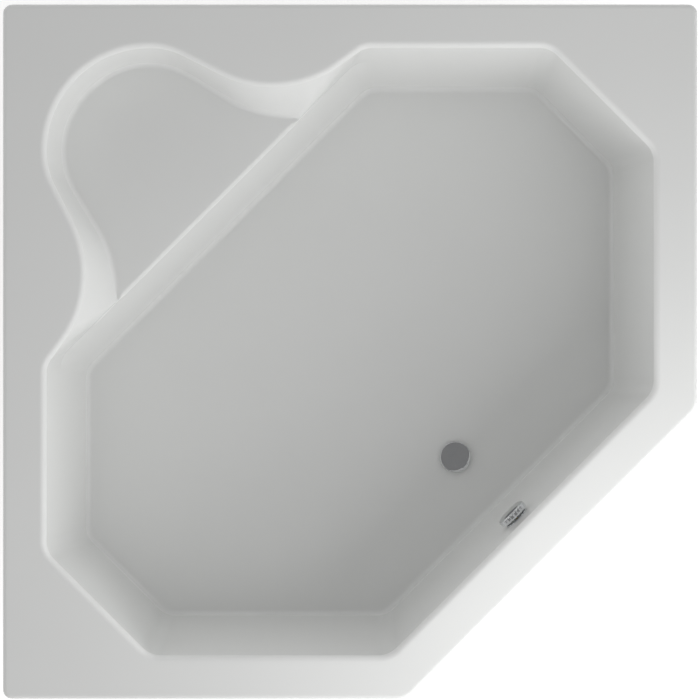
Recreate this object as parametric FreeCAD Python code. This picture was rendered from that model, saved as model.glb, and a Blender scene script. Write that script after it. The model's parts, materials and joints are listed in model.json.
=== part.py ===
import FreeCAD, Part
import math
import os

Vector = FreeCAD.Vector

# Tub outline, seen from above
tub_side = 1500.0             # each wall side of the square outline
front_reach = 617.0           # from the centre to the cut front edge, along the diagonal
rim_width = 93.0              # from the outer edge to the wall of the well
chamfer_inset = 159.0         # from the well's side corners to its chamfered walls
tub_corner_radius = 20.0
front_corner_radius = 45.0
well_corner_radius = 55.0

# Tub heights and walls
rim_height = 640.0
well_depth = 430.0
seat_depth = 150.0
lip_height = 45.0
shell_wall = 6.0

# How far the walls lean in over the depth of the well
side_lean = 33.5
front_lean = 22.0
chamfer_lean = 20.5
seat_front_lean = 35.0        # of the seat's front wall, from the seat down to the floor

# Seat bay in the back corner
bay_radius = 224.0            # round end of the bay at the rim
bay_reach = 262.5             # from the well's back corner to the shoulder
bay_shoulder_radius = 148.0
bay_slope = 26.6              # degrees to the wall
neck_run = 245.0              # from the shoulder to the neck, along the wall
neck_radius = 250.0
ramp_slope = 34.0             # degrees to the wall
ramp_corner_radius = 48.0
seat_length = 483.0           # from the well's back corner to the seat's front edge
seat_neck_share = 0.785       # of the seat's side, from the shoulder to the neck
seat_slope = 31.5             # degrees to the wall
seat_neck_slope = 5.0         # degrees to the wall

# Rounded edges of the tub
rim_edge_radius = 14.0
lip_edge_radius = 10.0
floor_edge_radius = 14.0
seat_edge_radius = 9.0
seat_front_radius = 10.0
seat_nose_inset = 16.0        # from each end of the seat's front edge to its rounded stretch

# Openings in the tub
drain_inset = 149.0           # from the floor's front edge to the drain
drain_hole_radius = 26.0
overflow_depth = 90.0         # below the rim
overflow_hole_radius = 23.0

# Support frame of square tube
tube_size = 25.0
tube_wall = 2.0
board_thickness = 16.0
board_inset = 40.0            # from the floor's edge to the base board's edge
board_drain_radius = 60.0
rear_post_inset = 60.0        # from the back corner of the outline
side_post_inset = 75.0        # from the side corners of the outline
front_post_inset = 37.0       # from the front edge
front_post_margin = 24.0      # from the ends of the front edge
seat_post_inset = 154.0       # from the seat's front edge to the seat post
seat_board_length = 200.0
seat_board_width = 300.0
cap_plate = 3.0               # outer plate of the post caps and tube plugs
cap_insert = 5.0              # their depth in the tube
cap_gap = 0.3                 # their clearance in the tube

# Screws that hold the frame to the base board
screw_radius = 2.1
screw_gap = 0.3
screw_head_radius = 5.0
screw_head_height = 3.0
screw_bite = 12.0             # depth in the board
beam_screw_shares = (0.35, 0.85)  # of the board's half width
rail_screw_shares = (0.26, 0.7)   # from the centre to the board's front edge

# Levelling feet
stud_radius = 6.0
stud_gap = 0.3                # clearance in nuts, pads and tube walls
stud_engage = 2.5             # stud above the underside of the frame
pad_radius = 25.0
pad_neck_radius = 12.0
pad_rim_height = 6.0
pad_height = 17.0
pad_socket_floor = 5.0
nut_width = 19.0              # across flats
nut_height = 10.0

# Hooked wall brackets
bracket_width = 30.0
bracket_sheet = 2.0
bracket_gap = 0.3             # between hook and lip
bracket_plate = 60.0          # below the lip
bracket_hook = 20.0           # above the lip's edge
bracket_hole_radius = 3.0
bracket_hole_spacing = 25.0
bracket_hole_margin = 20.0    # from the lip's edge to the upper hole
bracket_places = (350.0, -450.0)

# Drain and lifting plug
gasket_upper_height = 1.5
gasket_lower_height = 4.0
gasket_radius = 31.0
gasket_gap = 0.3
flange_radius = 33.0
flange_height = 2.5
flange_bevel = 1.5
flange_seat_radius = 27.0
flange_throat_radius = 21.0
flange_throat_drop = 5.0
flange_tail_radius = 24.0
flange_tail_length = 42.0     # below the floor's top face
spider_height = 6.0
spider_lift = 8.0             # above the lower end of the tail
spider_bar = 4.0
spider_hub_radius = 6.5
plug_stem_radius = 3.0
plug_stem_length = 62.0
plug_gap = 0.3                # running clearance of the plug
plug_seal_height = 2.0
plug_seal_inner = 20.0
plug_seal_radius = 30.0
cap_radius = 36.0
cap_skirt_inner = 33.6
cap_skirt_drop = 3.8
cap_side = 1.2                # straight side above the underside
cap_crown = 5.7               # top of the dome above the underside
drain_flange_radius = 36.0
drain_flange_height = 6.0
drain_gap = 0.3               # between tail and body
drain_body_radius = 29.0
drain_body_length = 66.0
drain_floor_height = 4.0
drain_spigot_length = 30.0
drain_inlet_drop = 44.0       # of the side inlet's axis below the top of the body
drain_inlet_reach = 30.0      # of the side inlet beyond the body
drain_inlet_seat = 6.0        # from the body to the pipe's end

# Overflow, with places measured along its axis from the wall
rosette_radius = 30.0
rosette_height = 4.0
rosette_throat_radius = 19.0
rosette_tail_radius = 22.0
rosette_tail_length = 24.0
rosette_hub_radius = 7.5
spindle_radius = 4.0
spindle_gap = 0.3
spindle_length = 46.0
knob_radius = 35.5
knob_standoff = 8.0
knob_side = 11.0
knob_bevel = 3.0
knob_crown = 4.5
knob_recess_inner = 10.0
knob_recess_outer = 31.0
knob_recess_depth = 6.0
overflow_gasket_height = 3.0
elbow_flange_radius = 33.0
elbow_flange_height = 6.0
elbow_radius = 25.0
elbow_length = 30.0
elbow_end = 3.0
elbow_pipe_place = 29.5       # from the wall to the pipe's axis
elbow_socket_drop = 50.0      # lower end of the socket below the axis
elbow_socket_depth = 22.0

# Pipes, nuts and cable
pipe_radius = 16.0
pipe_wall = 2.5
pipe_bend = 50.0
socket_wall = 2.8
socket_gap = 0.2
nut_gap = 0.3
pipe_nut_radius = 22.0
pipe_nut_length = 22.0
pipe_nut_grip = 12.0          # length over the socket
waste_radius = 20.0
waste_wall = 3.0
trap_nut_radius = 27.0
trap_nut_length = 26.0
trap_bend = 32.0
trap_dip = 36.0               # straight length of the trap's inlet leg
trap_outlet = 20.0            # straight length after the last bend
outlet_length = 134.0
outlet_stop_radius = 23.0     # collar that a socket on the outlet is pushed up to
outlet_stop_width = 4.0
outlet_stop_place = 18.0      # from the start of the outlet pipe to the end of its collar
cable_radius = 2.5
cable_boss_radius = 4.5
cable_boss_reach = 34.0       # from the middle plane to the end of each boss
cable_bend = 25.0
cable_low_bend = 40.0

tiny = 1e-6                   # shorter stretches are left out of an outline
flat_tolerance = 1e-3         # how far from a level an edge may lie
overrun = 5.0                 # extra length of every cut

floor_height = rim_height - well_depth
seat_height = rim_height - seat_depth
lip_bottom = rim_height - lip_height
corner_reach = tub_side / math.sqrt(2)
well_corner_reach = (tub_side / 2 - rim_width) * math.sqrt(2)
chamfer_reach = well_corner_reach - chamfer_inset
seat_front_reach = well_corner_reach - seat_length
seat_post_reach = seat_front_reach + seat_post_inset
floor_front_reach = front_reach - rim_width - front_lean
drain_reach = floor_front_reach - drain_inset
socket_radius = pipe_radius + socket_gap + socket_wall
frame_top = floor_height - shell_wall - board_thickness
frame_bottom = frame_top - tube_size
rear_post = rear_post_inset - corner_reach
side_post = corner_reach - side_post_inset
front_post = front_reach - front_post_inset
front_post_side = corner_reach - front_reach - front_post_margin


def slope(degrees):
    return math.tan(math.radians(degrees))


def diagonal_point(along, across):
    """Point in the wall axes: along the diagonal to the front edge, and across it."""
    return Vector((along + across) / math.sqrt(2), (across - along) / math.sqrt(2), 0)


def mirrored(points):
    """The same points on the other side of the diagonal, in reverse order."""
    return [Vector(-point.y, -point.x, 0) for point in reversed(points)]


def line_crossing(point, direction, other_point, other_direction):
    across = direction.x * other_direction.y - direction.y * other_direction.x
    gap = other_point - point
    share = (gap.x * other_direction.y - gap.y * other_direction.x) / across
    return point + direction * share


def directions(points):
    """Unit vector of each side of a closed outline, from its point to the next."""
    following = points[1:] + points[:1]
    return [(end - start).normalize() for start, end in zip(points, following)]


def turns(points):
    """Signed turn at each point of a closed outline, in radians, left turns positive."""
    leaving = directions(points)
    arriving = leaving[-1:] + leaving[:-1]
    return [math.atan2(a.x * b.y - a.y * b.x, a.dot(b)) for a, b in zip(arriving, leaving)]


def widened(points, grow):
    """A clockwise outline with each side moved outwards by the same distance."""
    normals = [Vector(-side.y, side.x, 0) for side in directions(points)]
    moved = []
    for index, point in enumerate(points):
        before, after = normals[index - 1], normals[index]
        moved.append(point + (before + after) * (grow / (1 + before.dot(after))))
    return moved


def widened_radii(points, radii, grow):
    """Corner radii of the widened outline: larger on right turns, smaller on left ones."""
    sized = []
    for turn, radius in zip(turns(points), radii):
        change = grow if turn < 0 else -grow
        sized.append(radius + change if radius else 0)
    return sized


def rounded_edges(points, radii, height):
    """Arcs and lines of a closed outline whose corners have the given radii."""
    lift = Vector(0, 0, height)
    leaving = directions(points)
    corners = []
    for index, (point, radius, turn) in enumerate(zip(points, radii, turns(points))):
        half = abs(turn) / 2
        reach = radius * math.tan(half)
        inward = leaving[index] - leaving[index - 1]
        inward.normalize()
        middle = point + inward * (radius / math.cos(half) - radius)
        start = point - leaving[index - 1] * reach
        end = point + leaving[index] * reach
        corners.append((start + lift, middle + lift, end + lift))
    edges = []
    following = corners[1:] + corners[:1]
    for (start, middle, end), (next_start, _, _), radius in zip(corners, following, radii):
        if radius:
            edges.append(Part.Arc(start, middle, end).toShape())
        if end.distanceToPoint(next_start) > tiny:
            edges.append(Part.LineSegment(end, next_start).toShape())
    return edges


def prism(points, radii, low, high):
    face = Part.Face(Part.Wire(rounded_edges(points, radii, low)))
    return face.extrude(Vector(0, 0, high - low))


def ruled_solid(low_edges, high_edges):
    return Part.makeLoft([Part.Wire(low_edges), Part.Wire(high_edges)], True, True)


def lean_at(depth, lean):
    return lean * depth / well_depth


def well_sides(depth):
    """Distances of the side, front and chamfered walls of the well at a depth below the rim."""
    side = tub_side / 2 - rim_width - lean_at(depth, side_lean)
    front = front_reach - rim_width - lean_at(depth, front_lean)
    chamfer = chamfer_reach - lean_at(depth, chamfer_lean)
    return side, front, chamfer


def front_points(depth):
    """Well corners from the chamfer to the front wall, on one half."""
    side, front, chamfer = well_sides(depth)
    chamfer_end = chamfer * math.sqrt(2) - side
    front_end = side - front * math.sqrt(2)
    return [Vector(chamfer_end, side, 0), Vector(side, chamfer_end, 0), Vector(side, front_end, 0)]


def rim_outline(grow):
    side, _, _ = well_sides(0)
    shoulder = Vector(bay_reach - side, side, 0)
    neck = shoulder + Vector(neck_run, -neck_run * slope(bay_slope), 0)
    ramp_end = Vector(neck.x + (side - neck.y) / slope(ramp_slope), side, 0)
    half = [shoulder, neck, ramp_end] + front_points(0)
    half_radii = [bay_shoulder_radius, neck_radius, ramp_corner_radius] + [well_corner_radius] * 3
    points = [Vector(-side, side, 0)] + half + mirrored(half)
    radii = [bay_radius] + half_radii + half_radii[::-1]
    return widened(points, grow), widened_radii(points, radii, grow)


def seat_neck(depth):
    """Shoulder, neck and front corner of the seat bay on one half, at a depth below the rim."""
    side, _, _ = well_sides(depth)
    shoulder = Vector(bay_reach - side, side, 0)
    front = diagonal_point(-seat_front_reach, 0)
    along_front = Vector(1, 1, 0)
    front_end = line_crossing(shoulder, Vector(1, -slope(seat_slope), 0), front, along_front)
    neck = shoulder + (front_end - shoulder) * seat_neck_share
    corner = line_crossing(neck, Vector(1, -slope(seat_neck_slope), 0), front, along_front)
    return shoulder, neck, corner


def seat_outline(grow):
    """Outline just above the seat: the bay ends at the seat's two sharp front corners."""
    depth = seat_depth + grow
    side, _, _ = well_sides(depth)
    shoulder, neck, corner = seat_neck(depth)
    back = Vector(side - seat_front_reach * math.sqrt(2), side, 0)
    half = [shoulder, neck, corner, back] + front_points(depth)
    points = [Vector(-side, side, 0)] + half + mirrored(half)
    half_radii = [bay_shoulder_radius, neck_radius, 0, well_corner_radius] + [well_corner_radius] * 3
    radii = [bay_radius - lean_at(depth, side_lean)] + half_radii + half_radii[::-1]
    sized = widened_radii(points, radii, grow)
    wide = widened(points, grow)
    neck_turn = abs(turns(wide)[2])
    # The neck's arc runs out exactly at the seat's corner, on both sides.
    sized[2] = wide[2].distanceToPoint(wide[3]) / math.tan(neck_turn / 2)
    sized[-2] = sized[2]
    return wide, sized


def lower_outline(depth, grow):
    """Eight-sided outline of the well below the seat."""
    side, _, _ = well_sides(depth)
    share = (depth - seat_depth) / (well_depth - seat_depth)
    back_reach = seat_front_reach - seat_front_lean * share
    half = [Vector(side - back_reach * math.sqrt(2), side, 0)] + front_points(depth)
    points = half + mirrored(half)
    radii = [well_corner_radius] * len(points)
    return widened(points, grow), widened_radii(points, radii, grow)


def edges_at(shape, height):
    """Edges that lie flat at a height."""
    flat = []
    for edge in shape.Edges:
        box = edge.BoundBox
        if max(abs(box.ZMin - height), abs(box.ZMax - height)) < flat_tolerance:
            flat.append(edge)
    return flat


def edges_behind(edges, along):
    """The edges whose middles lie behind a line across the diagonal."""
    behind = []
    for edge in edges:
        middle = edge.CenterOfMass
        if (middle.x - middle.y) / math.sqrt(2) < along:
            behind.append(edge)
    return behind


def turned(shape):
    """A shape modelled with X along the diagonal, turned into the wall axes."""
    shape.rotate(Vector(0, 0, 0), Vector(0, 0, 1), -45)
    return shape


def seat_nose():
    """What the rounded front edge of the seat takes off its sharp corner."""
    radius = seat_front_radius
    corner = Vector(-seat_front_reach, 0, seat_height)
    back = Vector(-1, 0, 0)
    down = Vector(seat_front_lean, 0, seat_depth - well_depth).normalize()
    half_turn = math.acos(down.x) / 2
    reach = radius * math.tan(half_turn)
    inward = (back + down).normalize()
    middle = corner + inward * (radius / math.cos(half_turn) - radius)
    start = corner + back * reach
    end = corner + down * reach
    arc = Part.Arc(start, middle, end).toShape()
    sides = [Part.LineSegment(end, corner).toShape(), Part.LineSegment(corner, start).toShape()]
    face = Part.Face(Part.Wire([arc] + sides))
    _, _, seat_corner = seat_neck(seat_depth)
    half_width = (seat_corner.x + seat_corner.y) / math.sqrt(2) - seat_nose_inset
    face.translate(Vector(0, -half_width, 0))
    return turned(face.extrude(Vector(0, half_width * 2, 0)))


def well(grow):
    """The space inside the tub, grown on all sides: the bay above the seat, and the well below."""
    seat_level = seat_height - grow
    floor_level = floor_height - grow
    seat_edges = rounded_edges(*seat_outline(grow), seat_level)
    upper = ruled_solid(seat_edges, rounded_edges(*rim_outline(grow), rim_height))
    floor_edges = rounded_edges(*lower_outline(well_depth + grow, grow), floor_level)
    lower = ruled_solid(floor_edges, rounded_edges(*lower_outline(seat_depth + grow, grow), seat_level))
    return upper, lower


def bathing_spaces():
    """The inside of the tub, with rounded edges round the seat, at its front and round the floor."""
    upper, lower = well(0)
    bay_edges = edges_behind(edges_at(upper, seat_height), -seat_front_reach - flat_tolerance)
    upper = upper.makeFillet(seat_edge_radius, bay_edges)
    lower = lower.makeFillet(floor_edge_radius, edges_at(lower, floor_height))
    return [upper, lower, seat_nose()]


def tub_outline():
    half = tub_side / 2
    cut = half - front_reach * math.sqrt(2)
    points = [Vector(-half, half, 0), Vector(half, half, 0), Vector(half, cut, 0)]
    points += [Vector(-cut, -half, 0), Vector(-half, -half, 0)]
    radii = [tub_corner_radius] * 2 + [front_corner_radius] * 2 + [tub_corner_radius]
    return points, radii


def rim_and_lip():
    """Flat rim with its lip turned down all round, not yet open in the middle."""
    points, radii = tub_outline()
    block = prism(points, radii, lip_bottom, rim_height)
    block = block.makeFillet(lip_edge_radius, edges_at(block, rim_height))
    inside = widened(points, -shell_wall)
    inside_radii = widened_radii(points, radii, -shell_wall)
    under = rim_height - shell_wall
    hollow = prism(inside, inside_radii, lip_bottom - overrun, under)
    hollow = hollow.makeFillet(lip_edge_radius - shell_wall, edges_at(hollow, under))
    return block.cut(hollow)


def tub_shell():
    upper, lower = well(shell_wall)
    shell = rim_and_lip().fuse([upper, lower]).cut(bathing_spaces()).removeSplitter()
    side, _, _ = well_sides(0)
    reach = side + rim_edge_radius
    inner_rim = [edge for edge in edges_at(shell, rim_height)
                 if edge.BoundBox.XMax < reach and edge.BoundBox.YMax < reach
                 and edge.BoundBox.XMin > -reach and edge.BoundBox.YMin > -reach]
    shell = shell.makeFillet(rim_edge_radius, inner_rim)
    hole_length = shell_wall + overrun * 2
    hole_start = Vector(0, 0, -shell_wall - overrun)
    drain_place = Vector(drain_reach, 0, floor_height) + hole_start
    drain = Part.makeCylinder(drain_hole_radius, hole_length, drain_place)
    overflow = Part.makeCylinder(overflow_hole_radius, hole_length, hole_start)
    return shell.cut([turned(drain), on_overflow_axis(overflow)])


def box_between(low, high):
    return Part.makeBox(high.x - low.x, high.y - low.y, high.z - low.z, low)


def square_tube(start, end):
    """Level tube of the frame between two points on its axis, along X or Y."""
    half = tube_size / 2
    run = (end - start).normalize()
    side = Vector(abs(run.y), abs(run.x), 0)
    low = Vector(min(start.x, end.x), min(start.y, end.y), 0) - side * half
    high = Vector(max(start.x, end.x), max(start.y, end.y), 0) + side * half
    outer = box_between(low + Vector(0, 0, frame_bottom), high + Vector(0, 0, frame_top))
    inset = side * tube_wall - Vector(abs(run.x), abs(run.y), 0) * overrun
    bore_low = low + inset + Vector(0, 0, frame_bottom + tube_wall)
    bore_high = high - inset + Vector(0, 0, frame_top - tube_wall)
    return outer.cut(box_between(bore_low, bore_high))


def upright(along, across, top):
    half = Vector(tube_size / 2, tube_size / 2, 0)
    bore = Vector(tube_size / 2 - tube_wall, tube_size / 2 - tube_wall, 0)
    place = Vector(along, across, 0)
    foot = Vector(0, 0, frame_top)
    head = Vector(0, 0, top)
    past = Vector(0, 0, overrun)
    outer = box_between(place - half + foot, place + half + head)
    return outer.cut(box_between(place - bore + foot - past, place + bore + head + past))


def rim_posts():
    """Places of the posts that carry the rim, by name."""
    return {
        "rear": (rear_post, 0),
        "left": (0, -side_post),
        "right": (0, side_post),
        "front_left": (front_post, -front_post_side),
        "front_right": (front_post, front_post_side),
    }


def foot_places():
    places = rim_posts()
    places["centre"] = (0, 0)
    return places


def screw_places():
    """Places of the base board screws: on the main beam, and on the two side rails."""
    half_width = chamfer_reach - chamfer_lean - board_inset
    front = floor_front_reach - board_inset
    places = [(0, side * share * half_width) for share in beam_screw_shares for side in (-1, 1)]
    places += [(share * front, side * front_post_side) for share in rail_screw_shares for side in (-1, 1)]
    return places


def upright_cylinders(places, radius, low, high):
    return [Part.makeCylinder(radius, high - low, Vector(along, across, low)) for along, across in places]


def frame_holes():
    studs = upright_cylinders(foot_places().values(), stud_radius + stud_gap,
                              frame_bottom - overrun, frame_bottom + tube_wall + overrun)
    screws = upright_cylinders(screw_places(), screw_radius + screw_gap,
                               frame_bottom - overrun, frame_top + overrun)
    return studs + screws


def frame_nodes():
    half = tube_size / 2
    end = side_post + half
    front_end = front_post_side + half
    nodes = {
        "main_beam": square_tube(Vector(0, -end, 0), Vector(0, end, 0)),
        "rear_spine": square_tube(Vector(rear_post - half, 0, 0), Vector(-half, 0, 0)),
        "front_beam": square_tube(Vector(front_post, -front_end, 0), Vector(front_post, front_end, 0)),
    }
    for name, side in (("left", -1), ("right", 1)):
        across = Vector(0, side * front_post_side, 0)
        start = Vector(half, 0, 0) + across
        nodes["side_rail_" + name] = square_tube(start, Vector(front_post - half, 0, 0) + across)
    nodes = {name: tube.cut(frame_holes()) for name, tube in nodes.items()}
    post_top = rim_height - shell_wall - cap_plate
    for name, (along, across) in rim_posts().items():
        nodes["upright_" + name] = upright(along, across, post_top)
    nodes["seat_post"] = upright(-seat_post_reach, 0, seat_height - shell_wall - board_thickness)
    return nodes


def cap_shape():
    """Cap with its plate above the origin and its insert below."""
    half = tube_size / 2
    insert = half - tube_wall - cap_gap
    plate = box_between(Vector(-half, -half, 0), Vector(half, half, cap_plate))
    return plate.fuse(box_between(Vector(-insert, -insert, -cap_insert), Vector(insert, insert, 0)))


def post_caps():
    caps = []
    for along, across in rim_posts().values():
        cap = cap_shape()
        cap.translate(Vector(along, across, rim_height - shell_wall - cap_plate))
        caps.append(cap)
    return Part.makeCompound(caps)


def tube_plugs():
    half = tube_size / 2
    ends = [(Vector(rear_post - half, 0, 0), Vector(-1, 0, 0))]
    for side in (-1, 1):
        outward = Vector(0, side, 0)
        ends.append((outward * (side_post + half), outward))
        ends.append((Vector(front_post, 0, 0) + outward * (front_post_side + half), outward))
    plugs = []
    for place, outward in ends:
        plug = cap_shape()
        plug.Placement = FreeCAD.Placement(place + Vector(0, 0, frame_bottom + half),
                                           FreeCAD.Rotation(Vector(0, 0, 1), outward))
        plugs.append(plug)
    return Part.makeCompound(plugs)


def base_board():
    points, radii = lower_outline(well_depth, -board_inset)
    board = prism(points, radii, frame_top, frame_top + board_thickness)
    cuts = upright_cylinders([(drain_reach, 0)], board_drain_radius, frame_top - overrun,
                             frame_top + board_thickness + overrun)
    cuts += upright_cylinders(screw_places(), screw_radius + screw_gap,
                              frame_top - overrun, frame_top + screw_bite)
    return board.cut([turned(cut) for cut in cuts])


def seat_board():
    top = seat_height - shell_wall
    low = Vector(-seat_post_reach - seat_board_length / 2, -seat_board_width / 2, top - board_thickness)
    return box_between(low, low + Vector(seat_board_length, seat_board_width, board_thickness))


def base_screws():
    screws = []
    head_low = frame_bottom - screw_head_height
    heads = upright_cylinders(screw_places(), screw_head_radius, head_low, frame_bottom)
    shanks = upright_cylinders(screw_places(), screw_radius, head_low, frame_top + screw_bite)
    for head, shank in zip(heads, shanks):
        screws.append(head.fuse(shank).removeSplitter())
    return Part.makeCompound(screws)


def revolved(points):
    """Solid of revolution about Z from points given as radius and height."""
    outline = [Vector(radius, 0, height) for radius, height in points]
    face = Part.Face(Part.makePolygon(outline + outline[:1]))
    return face.revolve(Vector(0, 0, 0), Vector(0, 0, 1), 360)


def ring(inner, outer, low, high):
    return revolved([(inner, low), (outer, low), (outer, high), (inner, high)])


def foot_nuts():
    nuts = []
    corner_radius = nut_width / math.sqrt(3)
    angles = [step * math.pi / 3 for step in range(6)]
    corners = [Vector(math.cos(angle), math.sin(angle), 0) * corner_radius for angle in angles]
    bore = Part.makeCylinder(stud_radius + stud_gap, nut_height + overrun * 2, Vector(0, 0, -overrun))
    hexagon = Part.Face(Part.makePolygon(corners + corners[:1])).extrude(Vector(0, 0, nut_height))
    for along, across in foot_places().values():
        nut = hexagon.cut(bore)
        nut.translate(Vector(along, across, frame_bottom - nut_height))
        nuts.append(nut)
    return Part.makeCompound(nuts)


def foot_stud(place):
    return upright_cylinders([place], stud_radius, pad_socket_floor, frame_bottom + stud_engage)[0]


def foot_pad(place):
    socket = stud_radius + stud_gap
    pad = revolved([(0, 0), (pad_radius, 0), (pad_radius, pad_rim_height), (pad_neck_radius, pad_height),
                    (socket, pad_height), (socket, pad_socket_floor), (0, pad_socket_floor)])
    pad.translate(Vector(*place, 0))
    return pad


def wall_bracket(place):
    """Hook for the lip on the left wall: a plate on the wall, a step under the lip and a hook inside it."""
    wall = -tub_side / 2
    hook = wall + shell_wall + bracket_gap
    sheet = Vector(bracket_sheet, 0, 0)
    step = lip_bottom - bracket_sheet
    plate_end = lip_bottom - bracket_plate
    hook_end = lip_bottom + bracket_hook
    outline = [Vector(wall, 0, lip_bottom), Vector(wall, 0, plate_end),
               Vector(wall, 0, plate_end) + sheet, Vector(wall, 0, step) + sheet,
               Vector(hook, 0, step) + sheet, Vector(hook, 0, hook_end) + sheet,
               Vector(hook, 0, hook_end), Vector(hook, 0, lip_bottom)]
    face = Part.Face(Part.makePolygon(outline + outline[:1]))
    face.translate(Vector(0, place - bracket_width / 2, 0))
    bracket = face.extrude(Vector(0, bracket_width, 0))
    upper = lip_bottom - bracket_hole_margin
    hole_length = bracket_sheet + overrun * 2
    starts = [Vector(wall - overrun, place, height) for height in (upper, upper - bracket_hole_spacing)]
    inward = Vector(1, 0, 0)
    holes = [Part.makeCylinder(bracket_hole_radius, hole_length, start, inward) for start in starts]
    return bracket.cut(holes)


def spider(hub_radius, bore_radius, reach, low, high):
    """Two crossed bars with a bored hub, inside a round throat."""
    bars = [box_between(Vector(-reach, -spider_bar / 2, low), Vector(reach, spider_bar / 2, high)),
            box_between(Vector(-spider_bar / 2, -reach, low), Vector(spider_bar / 2, reach, high)),
            Part.makeCylinder(hub_radius, high - low, Vector(0, 0, low))]
    bore = Part.makeCylinder(bore_radius, high - low + overrun * 2, Vector(0, 0, low - overrun))
    return bars[0].fuse(bars[1:]).cut(bore)


def at_drain(shape):
    shape.translate(Vector(drain_reach, 0, 0))
    return shape


def drain_flange():
    low = floor_height + gasket_upper_height
    top = low + flange_height
    tail_end = floor_height - flange_tail_length
    tail = flange_tail_radius
    body = revolved([(flange_throat_radius, tail_end), (tail, tail_end), (tail, low), (flange_radius, low),
                     (flange_radius, top - flange_bevel), (flange_radius - flange_bevel, top),
                     (flange_seat_radius, top), (flange_throat_radius, top - flange_throat_drop)])
    bars_low = tail_end + spider_lift
    mid_wall = (flange_throat_radius + tail) / 2
    bars_high = bars_low + spider_height
    bars = spider(spider_hub_radius, plug_stem_radius + plug_gap, mid_wall, bars_low, bars_high)
    return body.fuse(bars).removeSplitter()


def plug_nodes():
    flange_top = floor_height + gasket_upper_height + flange_height
    seal_low = flange_top + plug_gap
    under = seal_low + plug_seal_height
    skirt_end = under - cap_skirt_drop
    side_top = under + cap_side
    skirt = [Vector(0, 0, under), Vector(cap_skirt_inner, 0, under), Vector(cap_skirt_inner, 0, skirt_end),
             Vector(cap_radius, 0, skirt_end), Vector(cap_radius, 0, side_top)]
    crown = Vector(0, 0, under + cap_crown)
    rise = crown.z - side_top
    ball = (cap_radius ** 2 + rise ** 2) / (rise * 2)
    half_angle = math.asin(cap_radius / ball) / 2
    shoulder = crown + Vector(math.sin(half_angle), 0, math.cos(half_angle) - 1) * ball
    edges = [Part.LineSegment(a, b).toShape() for a, b in zip(skirt, skirt[1:])]
    edges.append(Part.Arc(skirt[-1], shoulder, crown).toShape())
    edges.append(Part.LineSegment(crown, skirt[0]).toShape())
    cap = Part.Face(Part.Wire(edges)).revolve(Vector(0, 0, 0), Vector(0, 0, 1), 360)
    seal = ring(plug_seal_inner, plug_seal_radius, seal_low, under)
    stem = Part.makeCylinder(plug_stem_radius, plug_stem_length, Vector(0, 0, under - plug_stem_length))
    return {"plug_cap": cap, "plug_seal": seal, "plug_stem": stem}


def drain_body():
    """Cup under the floor: a socket for the overflow pipe, a boss for the cable, a spigot for the trap."""
    top = floor_height - shell_wall - gasket_lower_height
    shoulder = floor_height - flange_tail_length
    bottom = top - drain_flange_height - drain_body_length
    spigot_end = bottom - drain_spigot_length
    bore = flange_tail_radius + drain_gap
    throat = flange_throat_radius
    waste_bore = waste_radius - waste_wall
    flange_low = top - drain_flange_height
    body = revolved([(bore, top), (drain_flange_radius, top), (drain_flange_radius, flange_low),
                     (drain_body_radius, flange_low), (drain_body_radius, bottom),
                     (waste_radius, bottom), (waste_radius, spigot_end), (waste_bore, spigot_end),
                     (waste_bore, bottom + drain_floor_height), (throat, bottom + drain_floor_height),
                     (throat, shoulder), (bore, shoulder)])
    axis_height = top - drain_inlet_drop
    start = Vector(0, 0, axis_height)
    outward = Vector(1, 0, 0)
    socket_end = drain_body_radius + drain_inlet_reach
    seat = drain_body_radius + drain_inlet_seat
    inlet = Part.makeCylinder(socket_radius, socket_end, start, outward)
    boss = Part.makeCylinder(cable_boss_radius, cable_boss_reach, start, Vector(0, 1, 0))
    keep = Part.makeCylinder(throat, shoulder - bottom, Vector(0, 0, bottom + drain_floor_height))
    tail_room = Part.makeCylinder(bore, top - shoulder, Vector(0, 0, shoulder))
    body = body.fuse([inlet.cut([keep, tail_room]), boss.cut(keep)])
    pipe_bore = Part.makeCylinder(pipe_radius - pipe_wall, socket_end + overrun, start, outward)
    pipe_seat = Part.makeCylinder(pipe_radius + socket_gap, socket_end, start + outward * seat, outward)
    return body.cut([pipe_bore, pipe_seat]).removeSplitter()


def on_overflow_axis(shape):
    """Places a shape modelled along Z on the overflow's axis, square to the front wall."""
    depth_share = overflow_depth / well_depth
    along = front_reach - rim_width - front_lean * depth_share
    facing = Vector(-well_depth, 0, front_lean)
    shape.Placement = FreeCAD.Placement(Vector(along, 0, rim_height - overflow_depth),
                                        FreeCAD.Rotation(Vector(0, 0, 1), facing))
    return turned(shape)


def overflow_rosette():
    tail_end = -rosette_tail_length
    body = revolved([(rosette_throat_radius, tail_end), (rosette_tail_radius, tail_end),
                     (rosette_tail_radius, 0), (rosette_radius, 0), (rosette_radius, rosette_height),
                     (rosette_throat_radius, rosette_height)])
    reach = (rosette_throat_radius + rosette_tail_radius) / 2
    bars = spider(rosette_hub_radius, spindle_radius + spindle_gap, reach, 0, rosette_height)
    return body.fuse(bars).removeSplitter()


def overflow_knob():
    back = knob_standoff
    side_end = back + knob_side
    recess_end = back + knob_recess_depth
    face_radius = knob_radius - knob_bevel
    return revolved([(0, back), (knob_recess_inner, back), (knob_recess_inner, recess_end),
                     (knob_recess_outer, recess_end), (knob_recess_outer, back), (knob_radius, back),
                     (knob_radius, side_end), (face_radius, side_end + knob_bevel),
                     (0, side_end + knob_crown)])


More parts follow.
